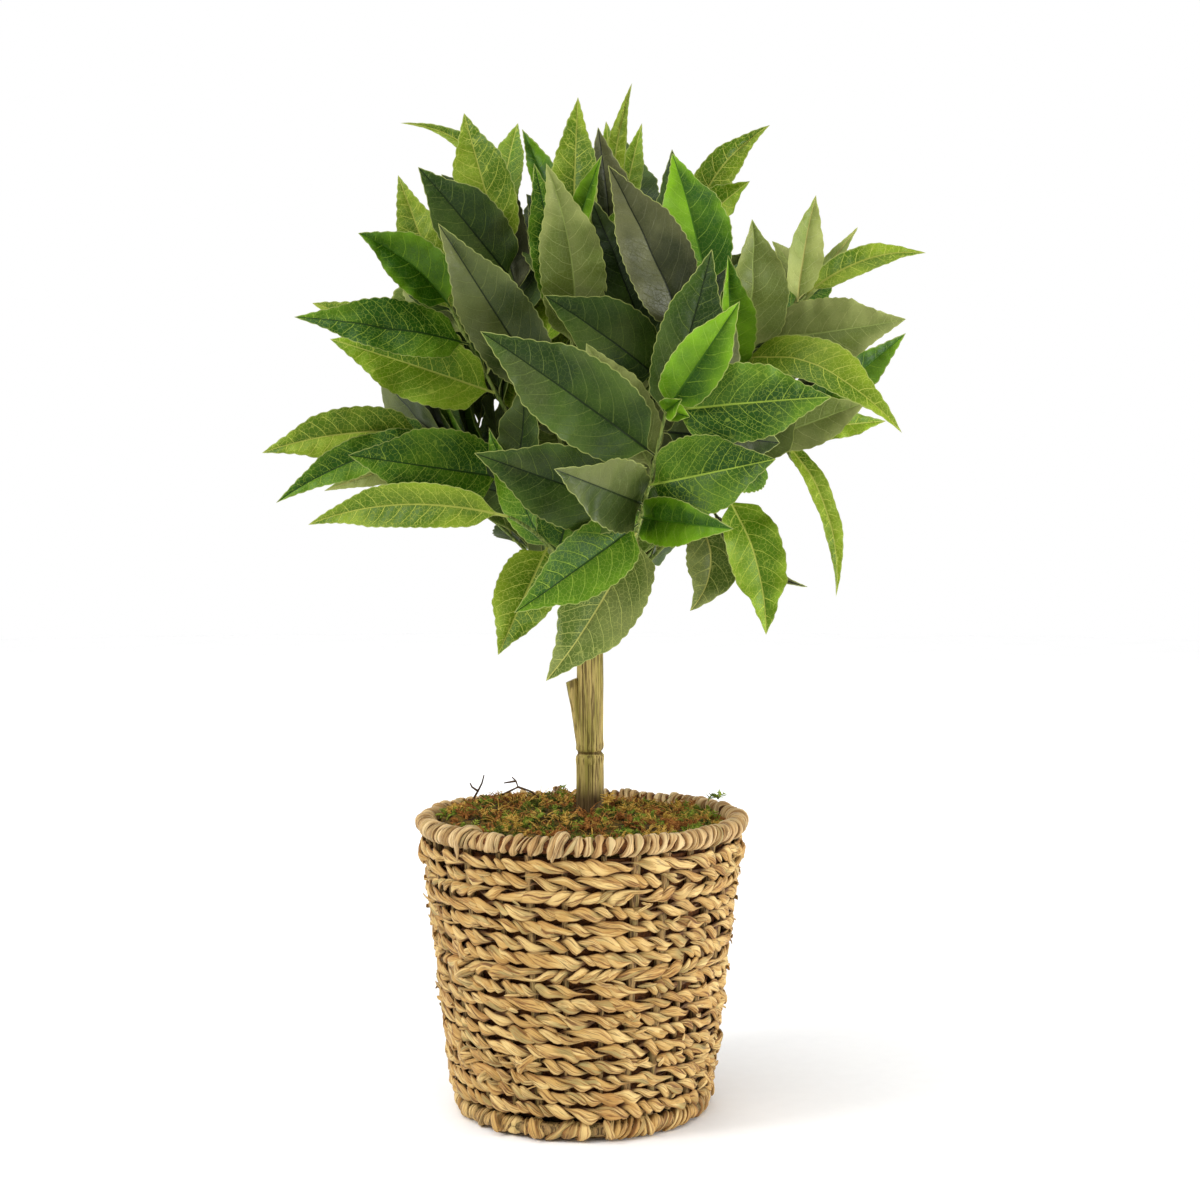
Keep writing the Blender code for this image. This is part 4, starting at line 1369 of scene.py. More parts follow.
LEAF_TONES = {
    Tone.DEEP: leaf("deep", (36, 56, 14), (66, 90, 28), (110, 128, 56), (28, 44, 8),
                    dusty=0.2, net=0.2, side=0.5, halves=0.26),
    Tone.DARK: leaf("dark", (28, 42, 10), (50, 68, 20), (76, 94, 38), (20, 32, 6),
                    dusty=0.2, net=0.12, side=0.4),
    Tone.BROWN: leaf("brown", (44, 50, 24), (82, 84, 50), (104, 106, 64), (30, 36, 14),
                     dusty=0.5, net=0.1, side=0.3, shine=0.24, halves=0.2),
    Tone.HAZE: leaf("haze", (56, 70, 28), (98, 108, 56), (126, 136, 76), (34, 46, 14),
                    dusty=0.4, net=0.12, side=0.4, shine=0.3),
    Tone.GREY: leaf("grey", (92, 106, 44), (138, 146, 82), (164, 172, 102), (130, 144, 74),
                    dusty=0.15, net=0.18, side=0.5),
    Tone.GREEN: leaf("green", (42, 78, 8), (88, 124, 22), (154, 178, 64), (36, 62, 12),
                     net=0.38, side=0.72),
    Tone.FRESH: leaf("fresh", (38, 70, 8), (82, 116, 24), (154, 178, 64), (142, 166, 62),
                     net=0.38, side=0.72, halves=0.44),
    Tone.BRIGHT: leaf("bright", (44, 80, 8), (112, 156, 24), (142, 176, 58), (62, 100, 20),
                      net=0.16, side=0.5, halves=0.32),
    Tone.OLIVE: leaf("olive", (74, 102, 12), (122, 144, 34), (184, 192, 80), (150, 158, 66),
                     net=0.42),
    Tone.YELLOW: leaf("yellow", (80, 114, 12), (126, 154, 34), (186, 198, 78), (162, 172, 74),
                      net=0.42),
    Tone.PALE: leaf("pale", (118, 134, 58), (152, 160, 88), (176, 182, 116), (160, 158, 86),
                    net=0.2, side=0.45),
    Tone.UNDER: leaf("under", (78, 98, 34), (122, 134, 68), (180, 186, 98), (182, 180, 96),
                     dusty=0.25, net=0.42, side=0.85),
}
LEAF_UNDERSIDES = {
    False: leaf("underside", (82, 104, 36), (122, 136, 64), (158, 166, 90), (160, 162, 86),
                net=0.3, gloss=0.55),
    True: leaf("underside_dark", (60, 74, 28), (92, 104, 52), (120, 130, 76), (126, 128, 70),
               net=0.2, side=0.5, gloss=0.55),
}
DARK_TONES = (Tone.DEEP, Tone.DARK, Tone.BROWN, Tone.HAZE)


@dataclass(frozen=True)
class GrassFinish:
    """Dried seagrass: fibres along the strand, with the colour drifting from strand to strand, and
    painted shade on the strand's edges and where it dives under the others.
    """
    name: str
    dark: Colour
    tan: Colour
    straw: Colour
    stain_and_edge_shade: Colour
    green: Colour = paint(140, 126, 74)
    streaks: Triple = (0.35, 6.5, 1.0)
    fibres: Triple = (0.9, 14.95, 1.0)
    drifts: Triple = (0.42, 0.35, 1.0)
    tinges: Triple = (0.30, 0.22, 1.0)
    blotch_scale: float = 42.0
    relief: float = 0.0011
    # How dark the painted shade makes the strand where it dives under the others, on its back and
    # at the wraps' edges.
    crevice_shade: float = 0.85

    def material(self) -> Material:
        """Make the material.

        Returns:
            The material.
        """
        graph = Graph(self.name)
        span = graph.uv("span")
        streak = graph.drawn(span, self.streaks, 1.0, 4.0, 0.62)
        fine = graph.drawn(span, self.fibres, 1.0, 2.0)
        drift = graph.drawn(span, self.drifts, 1.0, 2.0)
        tinge = graph.drawn(span, self.tinges, 1.7, 1.0)
        blotch = graph.noise(graph.place(), self.blotch_scale, 3.0)
        # The second UV map holds masks of painted shade: nearness to the strand's edge, and how
        # deep in shade it lies.
        beside, shade_mask, _ = graph.parts(graph.uv("edge"))
        colour = graph.layers(
            self.tan, (graph.step(drift, 0.40, 0.62), self.straw),
            (graph.step(tinge, 0.52, 0.68, 0.0, 0.75), self.green),
            (graph.step(blotch, 0.56, 0.72, 0.0, 0.4), self.stain_and_edge_shade),
            (graph.step(streak, 0.52, 0.42, 0.0, 0.6), self.stain_and_edge_shade),
            (graph.step(streak, 0.43, 0.36, 0.0, 0.7), self.dark),
            (graph.step(fine, 0.46, 0.34, 0.0, 0.6), self.dark),
            # Painted shade: the strand's edges are darkened towards the stain colour.
            (graph.step(beside, 0.70, 1.0, 0.0, 0.7), self.stain_and_edge_shade),
            # Painted shade: dark where the strand dives under the others and on its back.
            (graph.step(shade_mask, 0.15, 0.85, 0.0, self.crevice_shade), self.dark))
        height = graph.math("MULTIPLY_ADD", fine, 0.5, streak)
        rough = graph.step(streak, 0.3, 0.7, 0.72, 0.5)
        return graph.finish(colour, rough, height, self.relief, 0.9,
                            Sheen_Weight=0.05, Specular_IOR_Level=0.4)


@dataclass(frozen=True)
class MottledFinish:
    """A rough surface of two colours mottled together, for moss, earth and the floor."""
    name: str
    low: Colour
    high: Colour
    grain: float
    fine: float
    relief: float = 0.0008
    roughness: float = 0.9
    strength: float = 0.8

    def material(self) -> Material:
        """Make the material.

        Returns:
            The material.
        """
        graph = Graph(self.name)
        place = graph.place()
        patch = graph.noise(place, self.grain, 4.0, 0.6)
        grain = graph.noise(place, self.fine, 3.0)
        share = graph.math("MULTIPLY_ADD", grain, 0.5, graph.math("MULTIPLY", patch, 0.5))
        colour = graph.layers(self.low, (graph.step(share, 0.38, 0.62), self.high))
        return graph.finish(colour, self.roughness, grain, self.relief, self.strength,
                            Specular_IOR_Level=0.3)


@dataclass(frozen=True)
class BarkFinish:
    """A dried woody stem: long fibres and grooves, darker at its foot and at a ring."""
    name: str
    groove: Colour
    straw: Colour
    olive: Colour
    foot: Colour
    foot_from: float
    foot_to: float
    ring: float = -1.0
    ring_half: Pair = (0.0003, 0.0012)
    fibres: Triple = (1100.0, 1100.0, 38.0)
    folds: Triple = (320.0, 320.0, 20.0)
    foot_scale: float = 60.0
    foot_spread: float = 0.012
    relief: float = 0.0006

    def material(self) -> Material:
        """Make the material.

        Returns:
            The material.
        """
        graph = Graph(self.name)
        place = graph.place()
        fibre = graph.drawn(place, self.fibres, 1.0, 4.0, 0.65)
        broad = graph.drawn(place, self.folds, 1.0, 3.0)
        patch = graph.noise(place, self.foot_scale, 3.0)
        up = graph.parts(place)[2]
        off = graph.math("ABSOLUTE", graph.math("SUBTRACT", up, self.ring))
        up = graph.math("MULTIPLY_ADD", patch, self.foot_spread, up)
        colour = graph.layers(
            self.olive, (graph.step(broad, 0.36, 0.62), self.straw),
            (graph.step(fibre, 0.52, 0.42, 0.0, 0.85), self.groove),
            (graph.step(off, *self.ring_half, 0.8, 0.0), self.groove),
            (graph.step(up, self.foot_from, self.foot_to, 0.85, 0.0), self.foot))
        height = graph.math("MULTIPLY_ADD", broad, 0.6, fibre)
        return graph.finish(colour, 0.68, height, self.relief, 0.9, Specular_IOR_Level=0.35)


# Pieces

@dataclass
class Leaves:
    """The fine leaves: printed cloth with a waved, toothed edge and a pressed rib."""
    along: tuple[int, int] = (92, 44)
    along_length: float = 0.070
    ribs: tuple[float, ...] = (0.0, 0.045, 0.16, 0.40, 0.68, 0.93, 1.0)
    thickness: float = 0.0007
    stalk_half: float = 0.0007
    stalk_thickness: float = 0.0013
    stalk_share: float = 0.12
    blade_from: float = 0.03
    blade_grown: float = 0.13
    full_width: float = 0.03
    groove: float = 0.00055
    groove_width: float = 0.0011
    tooth: float = 0.00078
    tooth_pitch: Pair = (0.0042, 0.0056)
    bright_fold: float = 2.0
    folds: Pair = (0.5, 1.9)
    fold_curve: float = 1.25
    twist: float = 0.10
    tip_from: float = 0.66
    tip_pinch: float = 0.08
    wave: float = 0.0034
    waved: Pair = (0.25, 1.5)
    waves: Pair = (2.2, 5.2)
    crumple: float = 0.0024
    crumpled: Pair = (0.4, 1.3)
    crumple_pitch: float = 0.017
    quilt: float = 0.00032
    vein_pitch: float = 0.0076
    vein_lean: float = 0.7

    def build(self, crown: Crown) -> None:
        """Make one piece for each spray, which stands for that mass of the frame.

        Args:
            crown: The crown with its leaves grown.
        """
        tops = {tone: finish.material() for tone, finish in LEAF_TONES.items()}
        unders = {dark: finish.material() for dark, finish in LEAF_UNDERSIDES.items()}
        for number, spray in enumerate(SPRAYS):
            piece = Skin("leaves_" + spray.name)
            for k, blade in enumerate(crown.blades[spray.name]):
                top = piece.slot(tops[blade.tone])
                under = piece.slot(unders[blade.tone in DARK_TONES])
                self.add(piece, blade, Random(number * 100 + k), top, under)
            thing = piece.finish()
            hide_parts("foliage_" + spray.name)

    def outline(self, share: float) -> float:
        """Half width as a share of the widest: the rule's outline, with a drawn-out tip.

        Args:
            share: Share of the way to the tip.

        Returns:
            The share of the widest half width.
        """
        if share <= self.tip_from:
            return BLADE.outline(share)
        left = (1.0 - share) / (1.0 - self.tip_from)
        pinch = 1.0 - self.tip_pinch * sin(pi * left)
        return BLADE.outline(self.tip_from) * left * pinch

    def spread(self, turn: float) -> Pair:
        """Where a share of the way round a leaf lies: across it, -1 to 1, and its side.

        Args:
            turn: Share of the way round.

        Returns:
            The place across, and 1 for the upper side or -1 for the lower.
        """
        count = len(self.ribs) - 1
        steps = turn * 4 * count
        side = 1.0 if steps <= 2 * count else -1.0
        step = steps - count if side > 0 else 3 * count - steps
        whole = min(int(abs(step) + MERGE), count - 1)
        reach = mix(self.ribs[whole], self.ribs[whole + 1], abs(step) - whole)
        return math.copysign(reach, step), side

    def add(self, piece: Skin, blade: Blade, draw: Random, top: int, under: int) -> None:
        """Add one leaf.

        Args:
            piece: The skin that the leaf joins.
            blade: The leaf.
            draw: Seeded chance.
            top: The slot of its upper side.
            under: The slot of its underside.
        """
        length = (blade.tip - blade.root).length
        teeth = length / draw.uniform(*self.tooth_pitch)
        waves = draw.uniform(*self.waves)
        phases = [draw.uniform(0.0, tau) for _ in range(4)]
        slender = min(1.0, blade.width / self.full_width)
        wave = self.wave * slender * draw.uniform(*self.waved)
        crumple = self.crumple * slender * draw.uniform(*self.crumpled)
        twist = draw.uniform(-self.twist, self.twist)
        fold = blade.fold * (self.bright_fold if blade.tone is Tone.BRIGHT else 1.0)
        folds = {side: fold * draw.uniform(*self.folds) for side in (1.0, -1.0)}
        seed = draw.uniform(0.0, 90.0)

        def half_width(share: float, across: float) -> float:
            """Half the leaf's width, with its teeth.

            Args:
                share: Share of the way to the tip.
                across: The place across, -1 to 1.

            Returns:
                Half the width, in metres.
            """
            grown = clamp((share - self.blade_from) / self.blade_grown)
            grown = grown * grown * (3.0 - 2.0 * grown)
            half = blade.width / 2 * self.outline(share) * grown
            phase = phases[0] if across > 0 else phases[1]
            tooth = abs(sin(pi * teeth * share + phase)) - 0.6
            tooth *= grown * min(1.0, (1.0 - share) * 8.0) * across * across
            half += self.tooth * slender * tooth
            return max(half, self.stalk_half * min(1.0, (1.0 - share) * 20.0))

        def place(turn: float, share: float) -> Vector:
            """The place of a vertex of the leaf.

            Args:
                turn: Share of the way round.
                share: Share of the way along.

            Returns:
                The place.
            """
            if not 0.0 < share < 1.0:
                return (blade.root if share <= 0.0 else blade.tip).copy()
            across, side = self.spread(turn)
            centre, face, beside = blade.frame(share)
            half = half_width(share, across)
            reach = half * across
            lift = half * folds[math.copysign(1.0, across)] * abs(across) ** self.fold_curve
            dent = waver(across * 1.4, length * share / self.crumple_pitch, seed)
            lift += crumple * ends(share, 5.0, 4.0) * dent
            lift += reach * twist * sin(tau * share)
            phase = phases[2] if across > 0 else phases[3]
            grown = ends(share, 5.0, 6.0)
            sway = waver(share * waves * 2.0, phase * 5.0, seed)
            lift += wave * grown * across * across * sway
            veins = (length * share - abs(reach) * self.vein_lean) / self.vein_pitch
            lift += (self.quilt * grown * sin(pi * abs(across))
                     * cos(tau * veins))
            lift -= self.groove * grown * exp(-(reach / self.groove_width) ** 2)
            thick = mix(self.stalk_thickness, self.thickness, min(1.0, share / self.stalk_share))
            thick *= math.sqrt(max(0.0, 1.0 - across * across)) * min(1.0, (1.0 - share) * 12.0)
            return centre - beside * reach + face * (lift + side * thick / 2)

        def span(turn: float, share: float) -> Pair:
            """The point on the veins' pattern, in centimetres."""
            across, _ = self.spread(turn)
            return half_width(share, across) * across / CM, length * share / CM

        def edge(turn: float, share: float) -> Pair:
            """The way to the nearest edge in centimetres, and the share of the length."""
            across, _ = self.spread(turn)
            return half_width(share, across) * (1.0 - abs(across)) / CM, share

        along = self.along[0] if length > self.along_length else self.along[1]
        piece.bend((len(self.ribs) - 1) * 4, along, place, span, edge,
                   lambda turn, share: top if turn < 0.5 else under)


@dataclass
class Shoots:
    """The thin green boughs and stems, swollen a little where a leaf leaves them."""
    steps: int = 22
    knot: float = 0.32
    knots: int = 7

    def build(self, limbs: Limbs) -> None:
        """Make the boughs as one piece and the stems as another.

        Args:
            limbs: The boughs' and stems' lines.
        """
        material = BarkFinish("shoot_green", paint(74, 92, 36), paint(140, 152, 74),
                              paint(104, 124, 52), paint(104, 100, 52), 0.246, 0.262).material()
        boughs = Threads("boughs")
        for foot, middle, end, _ in limbs.boughs.values():
            self.lay(boughs, (foot, middle, end), LIMB.bough_radius, LIMB.bough_tip_radius)
        thing = boughs.finish(material)
        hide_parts(*["bough_" + name for name in limbs.boughs])
        stems = Threads("stems")
        for line in limbs.stems.values():
            self.lay(stems, line, LIMB.stem_radius, LIMB.stem_tip_radius)
        stems.finish(material)

    def lay(self, threads: Threads, line: Line, low: float, high: float) -> None:
        """Lay one shoot along its curve, with its knots.

        Args:
            threads: The rods that it joins.
            line: Its start, bend and end.
            low: Its radius at the start.
            high: Its radius at the end.
        """
        places, radii = [], []
        for k in range(self.steps + 1):
            share = k / self.steps
            swell = max(0.0, cos(tau * self.knots * share)) ** 6 * self.knot
            places.append(curve_point(*line, share))
            radii.append(mix(low, high, share) * (1.0 + swell * (0.0 < share < 1.0)))
        threads.lay(places, radii)


@dataclass
class Stem:
    """The trunk: a dried stem with long grooves, a pinched joint and a cut side shoot."""
    grid: tuple[int, int] = (108, 140)
    pinch: float = 0.0007
    pinch_half: float = 0.0008
    pinch_wander: float = 0.0006
    collar_off: float = 0.0030
    collar_half: float = 0.0018
    ridge: float = 0.00034
    ridges: int = 27
    stub_grid: tuple[int, int] = (28, 36)
    stub_foot: Vector = Vector((0.0005, -0.0010, 0.1740))
    stub_top: Vector = Vector((-0.0052, -0.0012, 0.2115))
    stub_radius: float = 0.0024
    stub_swell: float = 0.18
    stub_slant: float = 0.0007

    def build(self) -> None:
        """Make the trunk and its side shoot as one piece."""
        finish = BarkFinish("bark", paint(84, 66, 26), paint(190, 166, 98), paint(150, 138, 64),
                            paint(62, 38, 14), 0.157, 0.169, TRUNK.node_pinch[0])
        piece = Skin("trunk_bark", finish.material())
        low, high = TRUNK.foot[0], TRUNK.top[0]

        def place(turn: float, share: float) -> Vector:
            """A place on the trunk, its two ends closed by flat discs.

            Args:
                turn: Share of the way round.
                share: Share of the way along.

            Returns:
                The place.
            """
            angle = tau * turn
            height = mix(low, high, clamp((share - 0.03) / 0.94))
            way = polar(angle)
            seed = Vector((way.x * 2.2, way.y * 2.2, height * 12.0))
            wander = noise.noise(seed)
            relief = wander * self.ridge * 1.3
            relief -= self.ridge * max(0.0, sin(self.ridges * angle + 5.0 * wander)) ** 4
            relief += noise.noise(seed * 4.3) * self.ridge * 0.8
            radius = TRUNK.radius(height) - self.ridge * 0.5 + relief
            off = abs(height - TRUNK.node_pinch[0] - self.pinch_wander * sin(angle + 1.0))
            radius -= self.pinch * exp(-(off / self.pinch_half) ** 2)
            collar = (off - self.collar_off) / self.collar_half
            radius += self.pinch * 0.5 * exp(-collar ** 2)
            return Vector((TRUNK.across, 0.0, height)) + way * (radius * (0.0 < share < 1.0))

        piece.bend(*self.grid, place,
                   lambda turn, share: (turn * 4.0, mix(low, high, share) / CM))
        self.add_stub(piece)
        thing = piece.finish()
        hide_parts("trunk")

    def add_stub(self, piece: Skin) -> None:
        """Add the cut side shoot, which lies along the trunk and merges with it below.

        Args:
            piece: The skin that it joins.
        """
        ahead = (self.stub_top - self.stub_foot).normalized()
        first = ahead.orthogonal().normalized()
        second = ahead.cross(first)

        def place(turn: float, share: float) -> Vector:
            """A place on the side shoot, its top cut on a slant.

            Args:
                turn: Share of the way round.
                share: Share of the way along.

            Returns:
                The place.
            """
            angle = tau * turn
            rise = clamp((share - 0.05) / 0.90)
            way = first * cos(angle) + second * sin(angle)
            relief = waver(way.x * 3.0, way.y * 3.0, rise * 3.0) * self.ridge
            radius = self.stub_radius * (1.0 + self.stub_swell * rise ** 3) + relief
            point = self.stub_foot.lerp(self.stub_top, rise) + way * (radius * (0.0 < share < 1.0))
            point.z += (point.x - self.stub_top.x) / self.stub_radius * self.stub_slant * rise ** 8
            return point

        piece.bend(*self.stub_grid, place, lambda turn, share: (turn * 1.6, share * 4.0))


@dataclass(frozen=True)
class Ring:
    """A wrapped ring of the basket: its sizes, and how unevenly its wraps lie."""
    radius: float
    height: float
    half_depth: float
    half_height: float
    wraps: int
    jitter: float
    bunch: Pair
    lean: float
    bunch_lean: float
    lean_spread: float
    half_width: Pair
    half_thickness: Pair
    uneven: Pair
    size: Pair | None = None
    start: float = 0.0
    bare: tuple[Pair, ...] = ()


@dataclass
class Basket:
    """The woven seagrass basket: plaited rows, a wrapped rim and a wrapped foot."""
    foot_radius: float = 0.0645
    foot_height: float = 0.0110
    foot_half: float = 0.00465
    foot_core_inset: float = 0.0014
    shoulder_radius: float = 0.0800
    wall_top: float = 0.1350
    wall_thickness: float = 0.0090
    sharp: float = 75.0
    rows: int = 17
    rows_top: float = 0.1348
    countered: tuple[int, ...] = (9, 14)
    rope_turns: int = 17
    rope_grid: tuple[int, int] = (12, 240)
    rope_inset: float = 0.0019
    rope_rise: float = 0.0018
    rope_depth: float = 0.0016
    rope_sag: float = 0.0013
    rope_stand: Pair = (-0.0004, 0.0005)
    crease: float = 0.42
    strand_height: float = 0.0027
    strand_thickness: float = 0.0013
    strand_girth: Pair = (0.90, 1.12)
    liner_inset: float = 0.0048
    canes: int = 30
    cane_inset: float = 0.0034
    cane_radius: Pair = (0.0013, 0.0024)
    rim_radius: float = 0.0775
    rim_half: float = 0.0056
    rim_tall: float = 0.0053
    rim_core_inset: float = 0.0018
    overlap: tuple[Pair, ...] = ((-133.0, 0.0060), (-97.0, 0.0022), (100.0, 0.0040))
    wrap_grid: tuple[int, int] = (8, 18)
    wrap_bulge: float = 0.07
    wrap_swell: float = 0.25
    wrap_hook: float = 0.45
    frayed_foot: tuple[float, ...] = (-131.0, -112.0, -81.0, 5.0, 118.0)
    loose_ends: int = 260
    end_length: Pair = (0.005, 0.010)
    end_rise: float = 0.003
    tucked: float = -0.0015
    knot_reach: float = 0.0075
    knots: tuple[Triple, ...] = (
        (-141.0, 0.0745, 1.2), (-138.0, 0.0860, 0.8), (-146.0, 0.0350, 0.9),
        (-112.0, 0.0375, 1.0), (-134.0, 0.0250, 0.8), (-172.0, 0.1270, 1.2),
        (-70.0, 0.0600, 0.7), (-20.0, 0.1230, 1.3), (-14.0, 0.1280, 1.1),
        (-12.0, 0.0560, 1.0), (-10.0, 0.0340, 1.1), (-24.0, 0.0200, 0.9),
        (24.0, 0.0900, 1.0), (71.0, 0.0500, 0.9), (118.0, 0.1050, 1.0), (152.0, 0.0420, 1.0),
    )

    def radius(self, height: float) -> float:
        """Outer radius of the wall at a height, at the crest of a row."""
        share = (height - self.foot_height) / (self.wall_top - self.foot_height)
        return mix(self.foot_radius, self.shoulder_radius, share)

    def on_wall(self, degrees: float, height: float, proud: float) -> Vector:
        """A place on the wall's face, some way proud of it."""
        return polar(radians(degrees), self.radius(height) + proud, height)

    def build(self) -> None:
        """Make every piece of the basket."""
        self.grass = GrassFinish("seagrass", paint(82, 42, 12), paint(194, 154, 86),
                                 paint(222, 190, 122), paint(156, 106, 48)).material()
        self.wrap = GrassFinish("rim_seagrass", paint(84, 52, 20), paint(194, 158, 102),
                                paint(220, 190, 136), paint(160, 116, 62)).material()
        self.cane = BarkFinish("cane", paint(66, 44, 20), paint(164, 130, 80), paint(126, 106, 60),
                               paint(110, 84, 44), 0.0, 0.01).material()
        # Painted shade: the dark colour of the lining and the rim's core, which shows through the
        # gaps between the rows and the wraps.
        self.shade = MottledFinish("painted_gap_shade", paint(58, 31, 11), paint(108, 66, 29),
                                   260.0, 900.0).material()
        self.build_wall()
        self.build_ends()
        self.build_lining()
        self.build_canes()
        self.build_rim()
        self.build_foot()

    def build_wall(self) -> None:
        """Make the rows of plait, in a lower and an upper piece."""
        low = self.foot_height + GAP
        pitch = (self.rows_top - low) / self.rows
        middle = self.rows // 2
        for name, first, last in (("wall_plait_low", 0, middle),
                                  ("wall_plait_high", middle, self.rows)):
            piece = Skin(name, self.grass)
            for row in range(first, last):
                for strand in range(3):
                    self.add_strand(piece, row, strand, low + pitch * (row + 0.5))
            thing = piece.finish(self.sharp)
            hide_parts("basket_wall")

    def add_strand(self, piece: Skin, row: int, strand: int, height: float) -> None:
        """Add one of the three strands that twist round each other in a row.

        Args:
            piece: The skin that the strand joins.
            row: The row's number, from the foot up.
            strand: The strand's number in the row.
            height: The height of the row's middle.
        """
        draw = Random(1000 + row * 3 + strand)
        row_draw = Random(2000 + row)
        start = row_draw.uniform(0.0, tau) + tau * strand / 3
        turns = self.rope_turns + row_draw.choice((-1, 0, 0, 1))
        stand = row_draw.uniform(*self.rope_stand)
        way = 1.0 if row in self.countered else -1.0
        girth = draw.uniform(*self.strand_girth)
        offset = draw.uniform(0.0, 50.0)
        seed = row * 7.0 + strand * 2.3

        def phase(share: float) -> tuple[Vector, float, float]:
            """The way out from the basket's axis, how far the strand has turned, and its jitter.

            Args:
                share: Share of the way round the basket.

            Returns:
                The way out, the turn in radians, and the jitter.
            """
            angle = tau * share
            ring = polar(angle)
            wander = waver(ring.x * 2.6, ring.y * 2.6, row * 7.0) * 2.6
            drift = waver(ring.x * 5.0, ring.y * 5.0, seed + 20.0) * 1.8
            jitter = waver(ring.x * 9.0, ring.y * 9.0, seed + 40.0)
            return ring, turns * angle + start + wander + drift, jitter

        def place(turn: float, share: float) -> Vector:
            """A place on the strand.

            Args:
                turn: Share of the way round the strand.
                share: Share of the way round the basket.

            Returns:
                The place.
            """
            ring, t, jitter = phase(share)
            bulk = waver(ring.x * 7.0, ring.y * 7.0, seed + 80.0)
            sag = waver(ring.x * 1.7, ring.y * 1.7, height * 22.0) * self.rope_sag
            out = cos(t)
            z = height + self.rope_rise * (way * sin(t) + jitter * 0.8) + sag
            centre = self.radius(height) - self.rope_inset + self.rope_depth * out + stand
            centre += jitter * self.rope_sag
            shown = max(0.0, out + 0.3) / 1.3
            tall = self.strand_height * girth * (0.28 + 0.72 * shown ** 1.1 + bulk * 0.6)
            thick = self.strand_thickness * (0.75 + 0.3 * shown)
            about = tau * turn
            roll = 0.5 * sin(t) + 0.7 * jitter
            flat = thick * cos(about) * abs(cos(about)) ** 0.6
            flat *= 1.0 - self.crease * (0.7 + jitter) * max(0.0, cos(about)) ** 8
            up = tall * sin(about)
            spread = flat * cos(roll) - up * sin(roll) * 0.5
            lift = up * cos(roll) + flat * sin(roll) * 0.5
            return ring * (centre + spread) + Vector((0.0, 0.0, z + lift))

        def span(turn: float, share: float) -> Pair:
            """The point on the fibres' pattern."""
            along = share * tau * self.radius(height) / CM
            return along + offset, turn * 1.1 + along * 0.16 + offset

        def shade_mask(turn: float, share: float) -> Pair:
            """Painted shade: how near the strand's edge a place is, and how dark it is painted
            where it dives under the others and on its back, 0 to 1.
            """
            # Painted shade: deeper where the strand has turned in behind the others, and on the
            # back of its section.
            dived_shade = max(0.0, 0.30 - 0.75 * cos(phase(share)[1])) + (0.25 - 0.25 * cos(tau * turn))
            return abs(sin(tau * turn)), min(1.0, dived_shade)

        piece.bend(*self.rope_grid, place, span, shade_mask)

    def build_ends(self) -> None:
        """Make the tucked ends, knots and loose fibres that stand a little proud of the rows."""
        piece = Skin("wall_ends", self.grass)
        draw = Random(41)
        for degrees, height, size in self.knots:
            facing = self.on_wall(degrees, 0.0, 0.0).normalized()
            for _ in range(5):
                lean = draw.uniform(-0.9, 0.9)
                turn = size * math.degrees(self.knot_reach / self.radius(height)) * cos(lean)
                rise = size * self.knot_reach * sin(lean)
                shift = draw.uniform(-0.0018, 0.0018)
                crest = draw.uniform(0.0008, 0.0022)
                places = [self.on_wall(degrees + turn * along, height + rise * up + shift, proud)
                          for along, up, proud in ((-1.0, -1.0, self.tucked), (-0.5, -0.3, 0.0012),
                                                   (0.4, 0.6, crest), (1.0, 1.0, -0.0012))]
                piece.strip(places, (0.0012, 0.0019), 0.0008, facing, draw)
        for _ in range(self.loose_ends):
            degrees = draw.uniform(-180.0, 180.0)
            height = draw.uniform(0.016, self.rows_top - 0.004)
            turn = math.degrees(draw.uniform(*self.end_length) / self.radius(height))
            turn *= draw.choice((-1.0, 1.0))
            rise = draw.uniform(-self.end_rise, self.end_rise)
            places = [self.on_wall(degrees, height, self.tucked),
                      self.on_wall(degrees + turn * 0.5, height + rise * 0.3, 0.0010),
                      self.on_wall(degrees + turn, height + rise, draw.uniform(0.0005, 0.0030))]
            piece.strip(places, (0.0004, 0.0013), 0.0003,
                        self.on_wall(degrees, 0.0, 0.0).normalized(), draw, 8)
        piece.finish(self.sharp)

    def build_lining(self) -> None:
        """Make the dark inside of the wall, a sheet of painted shade that shows through the gaps
        between the rows.
        """
        piece = Skin("wall_lining", self.shade)
        inner = self.wall_thickness - 0.0005

        def place(turn: float, share: float) -> Vector:
            """A place on the lining, whose section is a thin upright box.

            Args:
                turn: Share of the way round its section.
                share: Share of the way round the basket.

            Returns:
                The place.
            """
            corner = int(round(turn * 4)) % 4
            height = self.wall_top if corner in (1, 2) else self.foot_height + GAP
            inset = self.liner_inset if corner in (0, 1) else inner
            return polar(tau * share, self.radius(height) - inset, height)

        piece.bend(4, 120, place, lambda turn, share: (share * 48.0, turn * 14.0))
        piece.finish(30.0)

    def build_canes(self) -> None:
        """Make the upright canes that the rows go round."""
        canes = Threads("wall_canes")
        draw = Random(77)
        heights = (self.foot_height + GAP, 0.05, 0.09, self.wall_top + 0.002)
        for k in range(self.canes):
            angle = tau * (k + draw.uniform(-0.2, 0.2)) / self.canes
            places = [polar(angle, self.radius(height) - self.cane_inset, height)
                      for height in heights]
            canes.lay(places, [draw.uniform(*self.cane_radius)] * len(places))
        canes.finish(self.cane)

